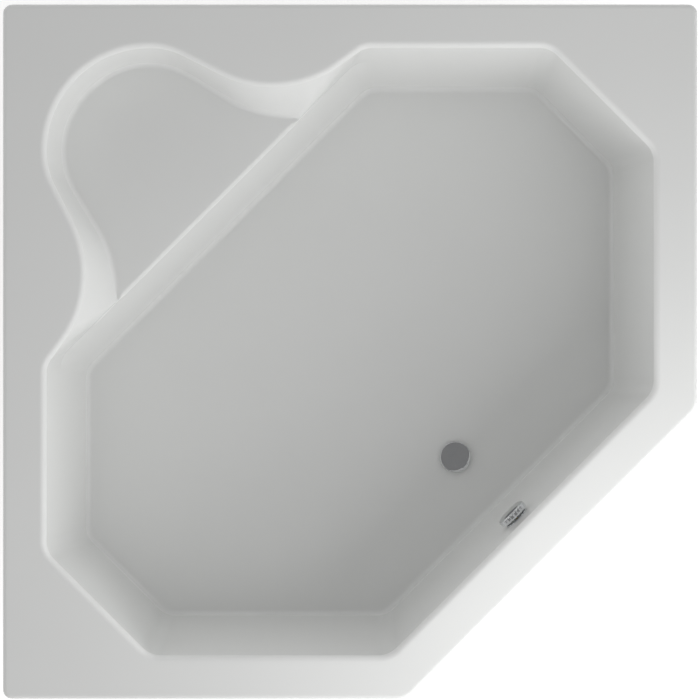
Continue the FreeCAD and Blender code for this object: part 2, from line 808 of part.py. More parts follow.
def overflow_elbow():
    """Closed cup behind the wall with a socket for the pipe and a boss for the cable."""
    front = -shell_wall - overflow_gasket_height
    flange_end = front - elbow_flange_height
    end = flange_end - elbow_length
    bore = rosette_tail_radius + drain_gap
    cup = revolved([(bore, front), (elbow_flange_radius, front), (elbow_flange_radius, flange_end),
                    (elbow_radius, flange_end), (elbow_radius, end), (0, end), (0, end + elbow_end),
                    (bore, end + elbow_end)])
    cup = on_overflow_axis(cup)
    cup_floor = end + elbow_end
    inside = on_overflow_axis(Part.makeCylinder(bore, front - cup_floor, Vector(0, 0, cup_floor)))
    axis = overflow_pipe_top()
    socket_end = axis.z - elbow_socket_drop
    down = Vector(0, 0, -1)
    socket = turned(Part.makeCylinder(socket_radius, elbow_socket_drop, axis, down))
    boss = turned(Part.makeCylinder(cable_boss_radius, cable_boss_reach, axis, Vector(0, 1, 0)))
    water = turned(Part.makeCylinder(pipe_radius - pipe_wall, elbow_socket_drop, axis, down))
    seat_place = Vector(axis.x, axis.y, socket_end)
    seat = Part.makeCylinder(pipe_radius + socket_gap, elbow_socket_depth, seat_place)
    elbow = cup.fuse([socket.cut(inside), boss.cut(inside)])
    return elbow.cut([water, turned(seat)]).removeSplitter()


def overflow_pipe_top():
    """Where the pipe's axis crosses the axis of the overflow."""
    depth_share = overflow_depth / well_depth
    wall = front_reach - rim_width - front_lean * depth_share
    return Vector(wall + elbow_pipe_place, 0, rim_height - overflow_depth)


def drain_inlet_height():
    return floor_height - shell_wall - gasket_lower_height - drain_inlet_drop


def bend(start, corner, end):
    """Quarter arc from start to end that turns at the corner of their two directions."""
    centre = start + end - corner
    middle = centre + (corner - centre).normalize() * centre.distanceToPoint(start)
    return Part.Arc(start, middle, end).toShape()


def pipe_along(edges, radius, bore):
    """Round pipe, or a full bar where the bore is zero, along a path of lines and tangent arcs."""
    runs = []
    for edge in edges:
        start = edge.valueAt(edge.FirstParameter)
        run = edge.tangentAt(edge.FirstParameter)
        circles = [Part.Wire(Part.makeCircle(size, start, run)) for size in (radius, bore) if size]
        section = Part.makeFace(circles, "Part::FaceMakerBullseye")
        if isinstance(edge.Curve, Part.Circle):
            angle = math.degrees(edge.LastParameter - edge.FirstParameter)
            runs.append(section.revolve(edge.Curve.Center, edge.Curve.Axis, angle))
        else:
            runs.append(section.extrude(edge.valueAt(edge.LastParameter) - start))
    return runs[0].fuse(runs[1:]) if len(runs) > 1 else runs[0]


def overflow_pipe():
    top = overflow_pipe_top()
    level = drain_inlet_height()
    start = Vector(top.x, 0, top.z - elbow_socket_drop + elbow_socket_depth)
    corner = Vector(top.x, 0, level)
    down_end = corner + Vector(0, 0, pipe_bend)
    level_start = corner - Vector(pipe_bend, 0, 0)
    end = Vector(drain_reach + drain_body_radius + drain_inlet_seat, 0, level)
    edges = [Part.LineSegment(start, down_end).toShape(), bend(down_end, corner, level_start),
             Part.LineSegment(level_start, end).toShape()]
    return pipe_along(edges, pipe_radius, pipe_radius - pipe_wall)


def pipe_nut():
    """Union nut along Z: its grip round the socket below the origin, its neck round the pipe above."""
    neck = pipe_radius + nut_gap
    grip = socket_radius + nut_gap
    neck_end = pipe_nut_length - pipe_nut_grip
    return revolved([(grip, -pipe_nut_grip), (pipe_nut_radius, -pipe_nut_grip),
                     (pipe_nut_radius, neck_end), (neck, neck_end), (neck, 0), (grip, 0)])


def pipe_nuts():
    top = overflow_pipe_top()
    upper = pipe_nut()
    upper.Placement = FreeCAD.Placement(top - Vector(0, 0, elbow_socket_drop),
                                        FreeCAD.Rotation(Vector(0, 0, 1), Vector(0, 0, -1)))
    lower = pipe_nut()
    socket_end = drain_reach + drain_body_radius + drain_inlet_reach
    lower.Placement = FreeCAD.Placement(Vector(socket_end, 0, drain_inlet_height()),
                                        FreeCAD.Rotation(Vector(0, 0, 1), Vector(1, 0, 0)))
    return {"pipe_nut_upper": upper, "pipe_nut_lower": lower}


def bowden_cable():
    """Cable from the overflow's boss, down beside the pipe and along to the drain body's boss."""
    start = overflow_pipe_top() + Vector(0, cable_boss_reach, 0)
    level = drain_inlet_height()
    end = Vector(drain_reach, cable_boss_reach, level)
    side = cable_boss_reach + cable_bend
    top_corner = Vector(start.x, side, start.z)
    top_end = top_corner - Vector(0, 0, cable_bend)
    low_corner = Vector(start.x, side, level)
    low_start = low_corner + Vector(0, 0, cable_low_bend)
    low_end = low_corner - Vector(cable_low_bend, 0, 0)
    last_corner = Vector(end.x, side, level)
    last_start = last_corner + Vector(cable_bend, 0, 0)
    edges = [bend(start, top_corner, top_end), Part.LineSegment(top_end, low_start).toShape(),
             bend(low_start, low_corner, low_end), Part.LineSegment(low_end, last_start).toShape(),
             bend(last_start, last_corner, end)]
    return pipe_along(edges, cable_radius, 0)


def trap_path():
    """Corner points of the trap's path below the drain, towards the left wall, and its end."""
    start = Vector(0, 0, drain_spigot_end())
    dip = start - Vector(0, 0, trap_dip)
    bottom = dip + Vector(-trap_bend, 0, -trap_bend)
    rise = dip - Vector(trap_bend * 2, 0, 0)
    level = rise + Vector(-trap_bend, 0, trap_bend)
    end = level - Vector(trap_outlet, 0, 0)
    return start, dip, bottom, rise, level, end


def drain_spigot_end():
    top = floor_height - shell_wall - gasket_lower_height
    return top - drain_flange_height - drain_body_length - drain_spigot_length


def trap_nodes():
    start, dip, bottom, rise, level, end = trap_path()
    edges = [Part.LineSegment(start, dip).toShape(),
             Part.Arc(dip, bottom_middle(dip, bottom), bottom).toShape(),
             Part.Arc(bottom, bottom_middle(rise, bottom), rise).toShape(),
             bend(rise, Vector(rise.x, 0, level.z), level), Part.LineSegment(level, end).toShape()]
    outlet_end = end - Vector(outlet_length, 0, 0)
    bore = waste_radius - waste_wall
    outlet = pipe_along([Part.LineSegment(end, outlet_end).toShape()], waste_radius, bore)
    stop = ring(bore, outlet_stop_radius, outlet_stop_place - outlet_stop_width, outlet_stop_place)
    stop.Placement = FreeCAD.Placement(end, FreeCAD.Rotation(Vector(0, 0, 1), Vector(-1, 0, 0)))
    nut = ring(waste_radius + nut_gap, trap_nut_radius, -trap_nut_length / 2, trap_nut_length / 2)
    inlet_nut = nut.copy()
    inlet_nut.translate(start)
    outlet_nut = nut.copy()
    outlet_nut.Placement = FreeCAD.Placement(end, FreeCAD.Rotation(Vector(0, 0, 1), Vector(1, 0, 0)))
    nodes = {
        "trap_body": pipe_along(edges, waste_radius, bore),
        "outlet_pipe": outlet.fuse(stop).removeSplitter(),
        "trap_inlet_nut": inlet_nut,
        "trap_outlet_nut": outlet_nut,
    }
    for shape in nodes.values():
        shape.translate(diagonal_point(drain_reach, 0))
    return nodes


def bottom_middle(leg, bottom):
    """Middle of the quarter arc between a leg of the trap and its lowest point."""
    centre = Vector(bottom.x, 0, leg.z)
    return centre + (leg + bottom - centre * 2).normalize() * trap_bend


def drain_nodes():
    underside = floor_height - shell_wall
    upper_top = floor_height + gasket_upper_height
    lower_end = underside - gasket_lower_height
    nodes = {
        "drain_flange": drain_flange(),
        "drain_gasket_upper": ring(drain_hole_radius, gasket_radius, floor_height, upper_top),
        "drain_gasket_lower": ring(drain_hole_radius, drain_flange_radius, lower_end, underside),
        "drain_body": drain_body(),
    }
    nodes.update(plug_nodes())
    return {name: turned(at_drain(shape)) for name, shape in nodes.items()}


def overflow_nodes():
    gasket_bore = rosette_tail_radius + gasket_gap
    gasket = ring(gasket_bore, gasket_radius, -shell_wall - overflow_gasket_height, -shell_wall)
    spindle_place = Vector(0, 0, knob_standoff - spindle_length)
    spindle = Part.makeCylinder(spindle_radius, spindle_length, spindle_place)
    nodes = {
        "overflow_rosette": on_overflow_axis(overflow_rosette()),
        "overflow_knob": on_overflow_axis(overflow_knob()),
        "overflow_spindle": on_overflow_axis(spindle),
        "overflow_gasket": on_overflow_axis(gasket),
        "overflow_elbow": overflow_elbow(),
        "overflow_pipe": turned(overflow_pipe()),
        "bowden_cable": turned(bowden_cable()),
    }
    nodes.update({name: turned(nut) for name, nut in pipe_nuts().items()})
    return nodes


def foot_nodes():
    nodes = {}
    for name, place in foot_places().items():
        nodes["foot_stud_" + name] = foot_stud(place)
        nodes["foot_pad_" + name] = foot_pad(place)
    return nodes


def bracket_nodes():
    nodes = {}
    across_diagonal = Vector(1, 1, 0)
    for name, place in zip(("rear", "front"), bracket_places):
        bracket = wall_bracket(place)
        nodes["wall_bracket_left_" + name] = bracket
        nodes["wall_bracket_back_" + name] = bracket.mirror(Vector(0, 0, 0), across_diagonal)
    return nodes


def support_nodes():
    nodes = frame_nodes()
    nodes["post_caps"] = post_caps()
    nodes["tube_plugs"] = tube_plugs()
    nodes["base_screws"] = base_screws()
    nodes["foot_nuts"] = foot_nuts()
    nodes["seat_board"] = seat_board()
    nodes.update(foot_nodes())
    return {name: turned(shape) for name, shape in nodes.items()}


def main():
    os.makedirs("parts", exist_ok=True)
    nodes = {"tub_shell": tub_shell(), "base_board": base_board()}
    for group in (support_nodes, bracket_nodes, drain_nodes, overflow_nodes, trap_nodes):
        nodes.update(group())
    for name, shape in nodes.items():
        shape.exportStep("parts/" + name + ".step")


if __name__ == "__main__":
    main()
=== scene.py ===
"""White acrylic corner bathtub on its levelling frame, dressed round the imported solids.

Plan shapes are outlines of arcs and lines; the moulding is a set of grids whose columns run
round the well and whose rows run from the lip over the rim and down to the drain. The frame, the
feet, the drain and the overflow are worked out in diagonal axes (to the front edge, across, up)
and then turned. All lengths in the classes are millimetres, and meshes are written in metres.
"""

from __future__ import annotations

import json
import logging
import math
from dataclasses import dataclass
from enum import Enum

import bmesh
import bpy
import numpy as np
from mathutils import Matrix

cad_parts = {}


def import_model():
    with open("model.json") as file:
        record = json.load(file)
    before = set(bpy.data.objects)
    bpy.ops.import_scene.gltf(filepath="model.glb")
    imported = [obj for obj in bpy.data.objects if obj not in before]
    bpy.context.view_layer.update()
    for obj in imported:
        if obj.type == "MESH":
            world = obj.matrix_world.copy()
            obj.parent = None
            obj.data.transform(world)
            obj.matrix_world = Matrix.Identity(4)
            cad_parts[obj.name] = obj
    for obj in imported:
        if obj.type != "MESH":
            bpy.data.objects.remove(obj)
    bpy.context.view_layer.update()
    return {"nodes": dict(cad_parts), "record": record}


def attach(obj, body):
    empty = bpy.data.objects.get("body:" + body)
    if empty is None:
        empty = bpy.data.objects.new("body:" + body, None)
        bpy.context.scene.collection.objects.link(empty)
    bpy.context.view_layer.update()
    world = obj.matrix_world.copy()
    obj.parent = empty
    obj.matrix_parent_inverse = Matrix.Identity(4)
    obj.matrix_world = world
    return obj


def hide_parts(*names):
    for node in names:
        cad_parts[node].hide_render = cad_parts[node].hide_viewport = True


LOG = logging.getLogger("bathtub")
MM = 0.001
ROOT2 = math.sqrt(2.0)
FULL_TURN = 2 * math.pi
SIGNS = (-1.0, 1.0)
NOTHING = 1e-6
NEARLY_ONE = 0.999999
SHORTEST = 1e-12
TURNED = np.array([[1.0, 1.0, 0.0], [-1.0, 1.0, 0.0], [0.0, 0.0, ROOT2]]) / ROOT2
AHEAD = (1.0, 0.0, 0.0)
ASIDE = (0.0, 1.0, 0.0)

# Steps of the grids: the turn on small rounds, whole straight lines, and steps round an axis
ROUND_STEP = math.radians(18)
WHOLE_LINE = 400.0
TURNED_STEPS = 96
RIBBED_STEPS = 144
PIN_STEPS = 32
BOSS_STEPS = 28

# Sizes that several assemblies share
DRAIN_REACH = 353.0
SEAT_POST_REACH = 600.138
SHELL_WALL = 6.0
RIM_HEIGHT = 640.0
WASTE_LEVEL = 156.0
RUNNING_GAP = 0.3

Array = np.ndarray
Colour = tuple[float, float, float]
Place = tuple[float, float, float]
Corner = tuple[float, float, float]
Stops = tuple[tuple[float, float], ...]


def unit(vectors: Array) -> Array:
    """Vectors scaled to length one along the last axis."""
    return vectors / np.maximum(np.linalg.norm(vectors, axis=-1, keepdims=True), SHORTEST)


def smooth_step(values: Array) -> Array:
    """Rises from 0 to 1 with level ends, as 3x^2 - 2x^3 of the clipped value."""
    share = np.clip(values, 0.0, 1.0)
    return share * share * (3.0 - 2.0 * share)


def lifted(plan: Array, height: float | Array) -> Array:
    """Plan points with a height as their third coordinate."""
    heights = np.broadcast_to(np.asarray(height, float), plan.shape[:-1])
    return np.concatenate([plan, heights[..., None]], axis=-1)


def diagonal_plan(along: Array | float, across: Array | float) -> Array:
    """Plan points from distances along the diagonal to the front edge and across it."""
    along, across = np.broadcast_arrays(np.asarray(along, float), np.asarray(across, float))
    return np.stack([(along + across) / ROOT2, (across - along) / ROOT2], axis=-1)


def steps_round(count: int) -> Array:
    """Angles of even steps round a circle, as one row."""
    return np.linspace(0.0, FULL_TURN, count, endpoint=False)[None, :]


def circled(radius: Array, heights: Array, angle: Array) -> Array:
    """Rings of points (r cos a, r sin a, z) about Z, from values that spread over one grid."""
    radius, heights, angle = np.broadcast_arrays(radius, heights, angle)
    return np.stack([radius * np.cos(angle), radius * np.sin(angle), heights], axis=-1)


@dataclass(frozen=True)
class Patch:
    """Points in millimetres and quads that index them."""

    points: Array
    faces: Array

    def moved(self, matrix: Array, shift: Array | Place) -> Patch:
        """The patch turned by a 3x3 matrix and then shifted."""
        return Patch(self.points @ np.asarray(matrix).T + np.asarray(shift), self.faces)

    def shifted(self, along: float, across: float, up: float) -> Patch:
        """The patch shifted along the three axes."""
        return Patch(self.points + np.array([along, across, up]), self.faces)

    def turned(self) -> Patch:
        """The patch taken from diagonal axes into the wall axes."""
        return self.moved(TURNED, np.zeros(3))

    def flipped(self) -> Patch:
        """The same patch with its faces turned over."""
        return Patch(self.points, self.faces[:, ::-1])


def grid_patch(points: Array, around: bool = True, along: bool = False) -> Patch:
    """Quads over a grid of points.

    Args:
        points: Rows by columns by 3.
        around: The last column joins the first.
        along: The last row joins the first.

    Returns:
        The patch, with face corners in the order row, next column, next row.
    """
    rows, columns = points.shape[:2]
    row = np.arange(rows if along else rows - 1)[:, None]
    column = np.arange(columns if around else columns - 1)[None, :]
    next_row = (row + 1) % rows * columns
    next_column = (column + 1) % columns
    row = row * columns
    quads = np.stack([row + column, row + next_column, next_row + next_column,
                      next_row + column], axis=-1)
    return Patch(points.reshape(-1, 3), quads.reshape(-1, 4))


def joined(patches: list[Patch]) -> Patch:
    """Several patches as one, with the faces' numbers moved along.

    Args:
        patches: The patches, in order.

    Returns:
        One patch.
    """
    counts = np.cumsum([0] + [len(patch.points) for patch in patches])
    faces = [patch.faces + first for patch, first in zip(patches, counts)]
    return Patch(np.concatenate([patch.points for patch in patches]), np.concatenate(faces))


@dataclass(frozen=True)
class Outline:
    """Closed outline of arcs and lines, edge by edge; a line has radius zero."""

    start: Array
    end: Array
    centre: Array
    radius: Array
    angle: Array
    turn: Array

    @classmethod
    def rounded(cls, points: Array, radii: Array) -> Outline:
        """Outline of a polygon whose corners have the given radii.

        Each arc touches the two sides at radius * tan(turn / 2) from its corner, and its centre
        lies square to the arriving side, towards the turn.

        Args:
            points: Corners, in order.
            radii: One radius for each corner.

        Returns:
            The outline, with an arc and the line after it for each corner in turn.
        """
        leaving = unit(np.roll(points, -1, axis=0) - points)
        arriving = np.roll(leaving, 1, axis=0)
        cross = arriving[:, 0] * leaving[:, 1] - arriving[:, 1] * leaving[:, 0]
        turn = np.arctan2(cross, (arriving * leaving).sum(axis=1))
        reach = radii * np.tan(np.abs(turn) / 2)
        start = points - arriving * reach[:, None]
        end = points + leaving * reach[:, None]
        left = np.stack([-arriving[:, 1], arriving[:, 0]], axis=-1)
        centre = start + left * (np.sign(turn) * radii)[:, None]
        angle = np.arctan2(start[:, 1] - centre[:, 1], start[:, 0] - centre[:, 0])
        flat = np.zeros(len(points))

        def woven(arcs: Array, lines: Array) -> Array:
            """Values of the arcs and of the lines, one after the other."""
            return np.stack([arcs, lines], axis=1).reshape((-1,) + arcs.shape[1:])

        return cls(woven(start, end), woven(end, np.roll(start, -1, axis=0)),
                   woven(centre, centre), woven(radii, flat), woven(angle, flat), woven(turn, flat))

    def without(self, edges: list[int]) -> Outline:
        """The outline with some edges of no length left out."""
        return Outline(*(np.delete(values, edges, axis=0) for values in vars(self).values()))

    def lengths(self) -> Array:
        """Length of each edge."""
        straight = np.linalg.norm(self.end - self.start, axis=1)
        return np.where(self.radius > 0, self.radius * np.abs(self.turn), straight)

    def at(self, edge: Array, share: Array) -> tuple[Array, Array]:
        """Points and outward normals of a clockwise outline.

        Args:
            edge: Edge number of each point.
            share: How far along its edge each point lies, from 0 to 1.

        Returns:
            Points and normals; on an arc, centre + radius * (cos, sin) of the turned angle.
        """
        angle = self.angle[edge] + share * self.turn[edge]
        spoke = np.stack([np.cos(angle), np.sin(angle)], axis=-1)
        on_arc = self.centre[edge] + spoke * self.radius[edge][:, None]
        run = self.end[edge] - self.start[edge]
        on_line = self.start[edge] + run * share[:, None]
        side = unit(run)
        square = np.stack([-side[:, 1], side[:, 0]], axis=-1)
        round_edge = (self.radius[edge] > 0)[:, None]
        outward = spoke * -np.sign(self.turn[edge])[:, None]
        return np.where(round_edge, on_arc, on_line), np.where(round_edge, outward, square)

    def samples(self, arc_step: float, line_step: float) -> Array:
        """Edge number plus share of evenly spaced points, finer on arcs.

        Args:
            arc_step: Largest turn between two points on an arc, in radians.
            line_step: Largest distance between two points on a line.

        Returns:
            Sorted values from 0 up to the number of edges; each edge's start is one of them.
        """
        arcs = np.ceil(np.abs(self.turn) / arc_step)
        lines = np.ceil(self.lengths() / line_step)
        counts = np.maximum(np.where(self.radius > 0, arcs, lines), 1).astype(int)
        edge = np.repeat(np.arange(len(counts)), counts)
        first = np.repeat(np.cumsum(counts) - counts, counts)
        return edge + (np.arange(counts.sum()) - first) / counts[edge]

    def drawn(self, places: Array) -> tuple[Array, Array]:
        """Points and normals at places given as edge number plus share."""
        edge = np.minimum(np.floor(places).astype(int), len(self.radius) - 1)
        return self.at(edge, places - edge)

    def bearings(self, steps: int = 160) -> tuple[Array, Array]:
        """Bearings of closely spaced places, seen from the middle.

        Args:
            steps: Places on each edge.

        Returns:
            The places, and their bearings, clockwise and rising.
        """
        places = np.arange(len(self.radius) * steps) / steps
        points, _ = self.drawn(places)
        return places, -np.unwrap(np.arctan2(points[:, 1], points[:, 0]))

    def place_at(self, points: Array) -> Array:
        """Places on the outline at the bearings of other points, between its own known bearings.

        Args:
            points: Plan points.

        Returns:
            Edge number plus share for each point.
        """
        bearing = -np.arctan2(points[:, 1], points[:, 0])
        places, known = self.bearings()
        folded = known[0] + np.mod(bearing - known[0], FULL_TURN)
        return np.interp(folded, np.append(known, known[0] + FULL_TURN),
                         np.append(places, len(self.radius)))


def corner_arc(corner: Array, to_first: Array, to_last: Array, radius: Array,
               steps: int) -> Array:
    """Rounds a corner between two directions.

    The arc's middle lies at radius / sin(half angle) along the bisector, and the spoke turns from
    one touching point to the other by spherical interpolation.

    Args:
        corner: Corner points, columns by 3.
        to_first: Unit vectors from the corner back along the profile.
        to_last: Unit vectors from the corner onwards.
        radius: Radius for each column.
        steps: Number of steps along the arc.

    Returns:
        Steps + 1 rows of points.
    """
    cosine = np.clip((to_first * to_last).sum(axis=-1), -NEARLY_ONE, NEARLY_ONE)
    half = np.arccos(cosine) / 2
    reach = (radius / np.tan(half))[:, None]
    middle = corner + unit(to_first + to_last) * (radius / np.sin(half))[:, None]
    first = corner + to_first * reach - middle
    last = corner + to_last * reach - middle
    share = np.linspace(0.0, 1.0, steps + 1)[:, None, None]
    bend = (math.pi - 2 * half)[None, :, None]
    spoke = np.sin((1 - share) * bend) * first + np.sin(share * bend) * last
    return middle + spoke / np.sin(bend)


def between(first: Array, last: Array, shares: tuple[float, ...]) -> Array:
    """Rows of points on the straight lines from one row to another, at the given shares."""
    return first + (last - first) * np.asarray(shares)[:, None, None]


def axis_frame(axis: Place) -> Array:
    """Turns Z to an axis, and keeps the second axis level.

    Args:
        axis: Direction, of any length.

    Returns:
        The 3x3 matrix.
    """
    along = unit(np.asarray(axis, float))
    side = np.cross((0.0, 0.0, 1.0), along)
    side = np.array(ASIDE) if np.linalg.norm(side) < NOTHING else unit(side)
    return np.stack([np.cross(side, along), side, along], axis=1)


@dataclass(frozen=True)
class Relief:
    """Ribs round a turned piece: the surface sinks between them in a range of radii."""

    count: int
    depth: float
    low: float
    high: float
    soft: float = 0.4

    def sunk(self, radius: Array, angle: Array) -> Array:
        """Radius with the valleys between the ribs taken off.

        The valley is depth * (1 - max(0, cos(count * angle)) ^ 2), and it fades at both ends of
        the range of radii.

        Args:
            radius: Profile radius, rows by 1.
            angle: Angle round the axis, 1 by columns.

        Returns:
            Rows by columns of radii.
        """
        window = smooth_step((radius - self.low) / self.soft)
        window = window * smooth_step((self.high - radius) / self.soft)
        rib = np.maximum(0.0, np.cos(self.count * angle)) ** 2
        return radius - window * self.depth * (1 - rib)


def revolved(corners: list[Corner], segments: int, relief: Relief | None = None,
             line_step: float = WHOLE_LINE) -> Patch:
    """Closed body of revolution about Z from a profile with rounded corners.

    Each profile point (r, z) becomes the ring (r cos a, r sin a, z). A profile that starts on the
    axis also ends there, and is left open along it.

    Args:
        corners: Profile corners as radius, height and rounding, in order round the section.
        segments: Steps round the axis.
        relief: Ribs on part of the profile.
        line_step: Largest step on the profile's lines.

    Returns:
        The patch, with its poles still doubled.
    """
    section = np.array(corners, float)
    outline = Outline.rounded(section[:, :2], section[:, 2])
    outline = outline.without(list(np.flatnonzero(outline.lengths() < NOTHING)))
    profile, _ = outline.drawn(outline.samples(ROUND_STEP, line_step))
    off_axis = np.flatnonzero(profile[:, 0] > NOTHING)
    hollow = bool(off_axis[0] == 0)
    profile = profile if hollow else profile[:off_axis[-1] + 2]
    angle = steps_round(segments)
    radius = profile[:, :1] if relief is None else relief.sunk(profile[:, :1], angle)
    return grid_patch(circled(radius, profile[:, 1:], angle), along=hollow)


def ring(inner: float, outer: float, low: float, high: float, ease: float,
         segments: int = 64) -> Patch:
    """Flat ring about Z with eased edges."""
    return revolved([(inner, low, ease), (outer, low, ease), (outer, high, ease),
                     (inner, high, ease)], segments)


def pin(radius: float, low: float, high: float, tip: float, root: float = 0.2) -> Patch:
    """Round pin about Z with a rounded tip at its low end and an eased root."""
    return revolved([(0.0, low, 0.0), (radius, low, tip), (radius, high, root),
                     (0.0, high, 0.0)], PIN_STEPS)


def rectangle(length: float, width: float, radius: float) -> Outline:
    """Rectangle about the origin with rounded corners, clockwise."""
    points = [(-length, width), (length, width), (length, -width), (-length, -width)]
    return Outline.rounded(np.array(points) / 2, np.full(4, radius))


def slab(edge: Array, outward: Array, low: float, high: float, ease: float,
         hole: Array | None = None) -> Patch:
    """Level plate with eased edges.

    On the edges the outline steps in by ease * (1 - sin a) while the height changes by
    ease * (1 - cos a), for a quarter turn below and one above.

    Args:
        edge: Plan points of its outline.
        outward: Their normals.
        low: Height of its underside.
        high: Height of its top.
        ease: Radius of its edges.
        hole: Plan points of a hole, one for each point of the outline.

    Returns:
        The patch; without a hole its two faces close on their middles.
    """
    turn = np.linspace(0.0, math.pi / 2, 4)
    inset = ease * (1 - np.sin(turn))
    rise = ease * (1 - np.cos(turn))
    insets = np.concatenate([inset, inset[::-1]])[:, None, None]
    heights = np.concatenate([low + rise, high - rise[::-1]])[:, None]
    side = lifted(edge - outward * insets, heights)
    inner = np.broadcast_to(edge.mean(axis=0), edge.shape) if hole is None else hole
    rows = np.concatenate([lifted(inner, low)[None], side, lifted(inner, high)[None]])
    return grid_patch(rows, along=hole is not None)


def plate(length: float, width: float, low: float, high: float, ease: float) -> Patch:
    """Rectangular plate about Z with eased edges and corners."""
    outline = rectangle(length, width, ease)
    return slab(*outline.drawn(outline.samples(math.radians(30), WHOLE_LINE)), low, high, ease)


def square_tube(start: Place, end: Place, size: float, wall: float, radius: float) -> Patch:
    """Square tube with rounded edges between two points on its axis.

    A rounded square and a smaller one inside it are carried from one end to the other.

    Args:
        start: First end.
        end: Last end.
        size: Outer width.
        wall: Wall thickness.
        radius: Radius of the outer edges.

    Returns:
        The closed patch of its outside, its inside and its two ends.
    """
    outer = rectangle(size, size, radius)
    inner = rectangle(size - wall * 2, size - wall * 2, max(radius - wall, wall / 4))
    places = outer.samples(ROUND_STEP, WHOLE_LINE)
    outside, inside = outer.drawn(places)[0], inner.drawn(places)[0]
    run = np.subtract(end, start)
    length = float(np.linalg.norm(run))
    rows = [lifted(outside, 0.0), lifted(outside, length), lifted(inside, length),
            lifted(inside, 0.0)]
    return grid_patch(np.array(rows), along=True).moved(axis_frame(run), start)


def rounded_path(points: list[Place], radius: float | tuple[float, ...],
                 steps: int = 14) -> Array:
    """Points along a path of lines whose corners are rounded by arcs.

    Args:
        points: Ends and corners of the path.
        radius: Radius of all corners, or of each.
        steps: Steps along each arc.

    Returns:
        The points, without doubled ones.
    """
    places = np.array(points, float)
    corners = places[1:-1]
    radii = np.broadcast_to(np.asarray(radius, float), len(corners))
    back, onward = unit(places[:-2] - corners), unit(places[2:] - corners)
    arcs = corner_arc(corners, back, onward, radii, steps).transpose(1, 0, 2).reshape(-1, 3)
    path = np.concatenate([places[:1], arcs, places[-1:]])
    gaps = np.linalg.norm(np.diff(path, axis=0), axis=1)
    return path[np.append(True, gaps > NOTHING)]


def pipe(path: Array | list[Place], radius: float | Array, bore: float, reference: Place,
         segments: int = 40) -> Patch:
    """Round pipe, or a solid bar where the bore is zero, along a path.

    Each ring is path + radius * (cos a * side + sin a * up), where side is square to the path and
    to the reference.

    Args:
        path: Points along the axis.
        radius: Outer radius, or one for each point.
        bore: Inner radius.
        reference: Direction that the path never takes.
        segments: Steps round the axis.

    Returns:
        The closed patch.
    """
    path = np.asarray(path, float)
    steps = unit(np.diff(path, axis=0))
    along = unit(np.concatenate([steps[:1], steps[:-1] + steps[1:], steps[-1:]]))
    side = unit(np.cross(along, reference))[:, None, :]
    up = np.cross(side, along[:, None, :])
    angle = steps_round(segments)[..., None]
    spoke = np.cos(angle) * side + np.sin(angle) * up
    centre = np.broadcast_to(path[:, None, :], spoke.shape)
    radii = np.broadcast_to(np.asarray(radius, float), len(path))[:, None, None]
    outer = centre + spoke * radii
    if bore > 0:
        return grid_patch(np.concatenate([outer, (centre + spoke * bore)[::-1]]), along=True)
    return grid_patch(np.concatenate([centre[:1], outer, centre[-1:]]))


def threaded_rod(radius: float, length: float, pitch: float, depth: float, chamfer: float,
                 flat: float = 0.15, rows_per_turn: int = 6, segments: int = 24) -> Patch:
    """Rod along Z with a cut thread and pointed ends.

    The radius falls by depth times a triangle wave of height / pitch - angle / (2 pi), stretched
    and clipped to leave flat crests and roots, which winds the groove into a helix; at each end a
    cone takes off the first turns.

    Args:
        radius: Radius of the thread's crests.
        length: Length of the rod.
        pitch: Rise of one turn.
        depth: Depth of the groove.
        chamfer: What the cones take off the radius at the ends.
        flat: Share of the wave that is cut off at its crests and roots.
        rows_per_turn: Rows of points in one turn of the thread.
        segments: Steps round the axis.

    Returns:
        The closed patch.
    """
    heights = np.linspace(0.0, length, int(length / pitch * rows_per_turn) + 1)[:, None]
    angle = steps_round(segments)
    wave = np.abs(2 * np.mod(heights / pitch - angle / FULL_TURN, 1.0) - 1)
    turned = radius - depth * np.clip((1 + 2 * flat) * wave - flat, 0.0, 1.0)
    cone = radius - chamfer + np.minimum(heights, length - heights)
    rings = circled(np.minimum(turned, cone), heights, angle)
    poles = rings * np.array([0.0, 0.0, 1.0])
    return grid_patch(np.concatenate([poles[:1], rings, poles[-1:]]))


def hexagon_nut(width: float, height: float, bore: float, bevel: float,
                inset: float = 0.985, steepness: float = 1.8, segments: int = 72) -> Patch:
    """Hexagon nut about Z, standing on the origin, with bevelled corners.

    On the flats the radius is width / 2 over the cosine of the angle from the flat's middle, and
    near both faces a steep cone, a little inside the flats, cuts the corners.

    Args:
        width: Width across the flats.
        height: Height of the nut.
        bore: Radius of its hole.
        bevel: Height of the bevel and of the countersink.
        inset: Radius of the cones at the faces, as a share of half the width.
        steepness: Rise of the cones' radius with the height.
        segments: Steps round the axis.

    Returns:
        The closed patch.
    """
    sixth = math.pi / 3
    angle = steps_round(segments)
    flats = width / 2 / np.cos(np.mod(angle, sixth) - sixth / 2)
    bevels = [np.linspace(0.0, bevel, 5), np.linspace(height - bevel, height, 5)]
    heights = np.concatenate(bevels)[:, None]
    cone = width / 2 * inset + steepness * np.minimum(heights, height - heights)
    mouth = bore + np.array([bevel, 0.0, 0.0, bevel])[:, None] + 0.0 * angle
    inner = np.array([height, height - bevel, bevel, 0.0])[:, None]
    radius = np.concatenate([np.minimum(flats, cone), mouth])
    return grid_patch(circled(radius, np.concatenate([heights, inner]), angle), along=True)


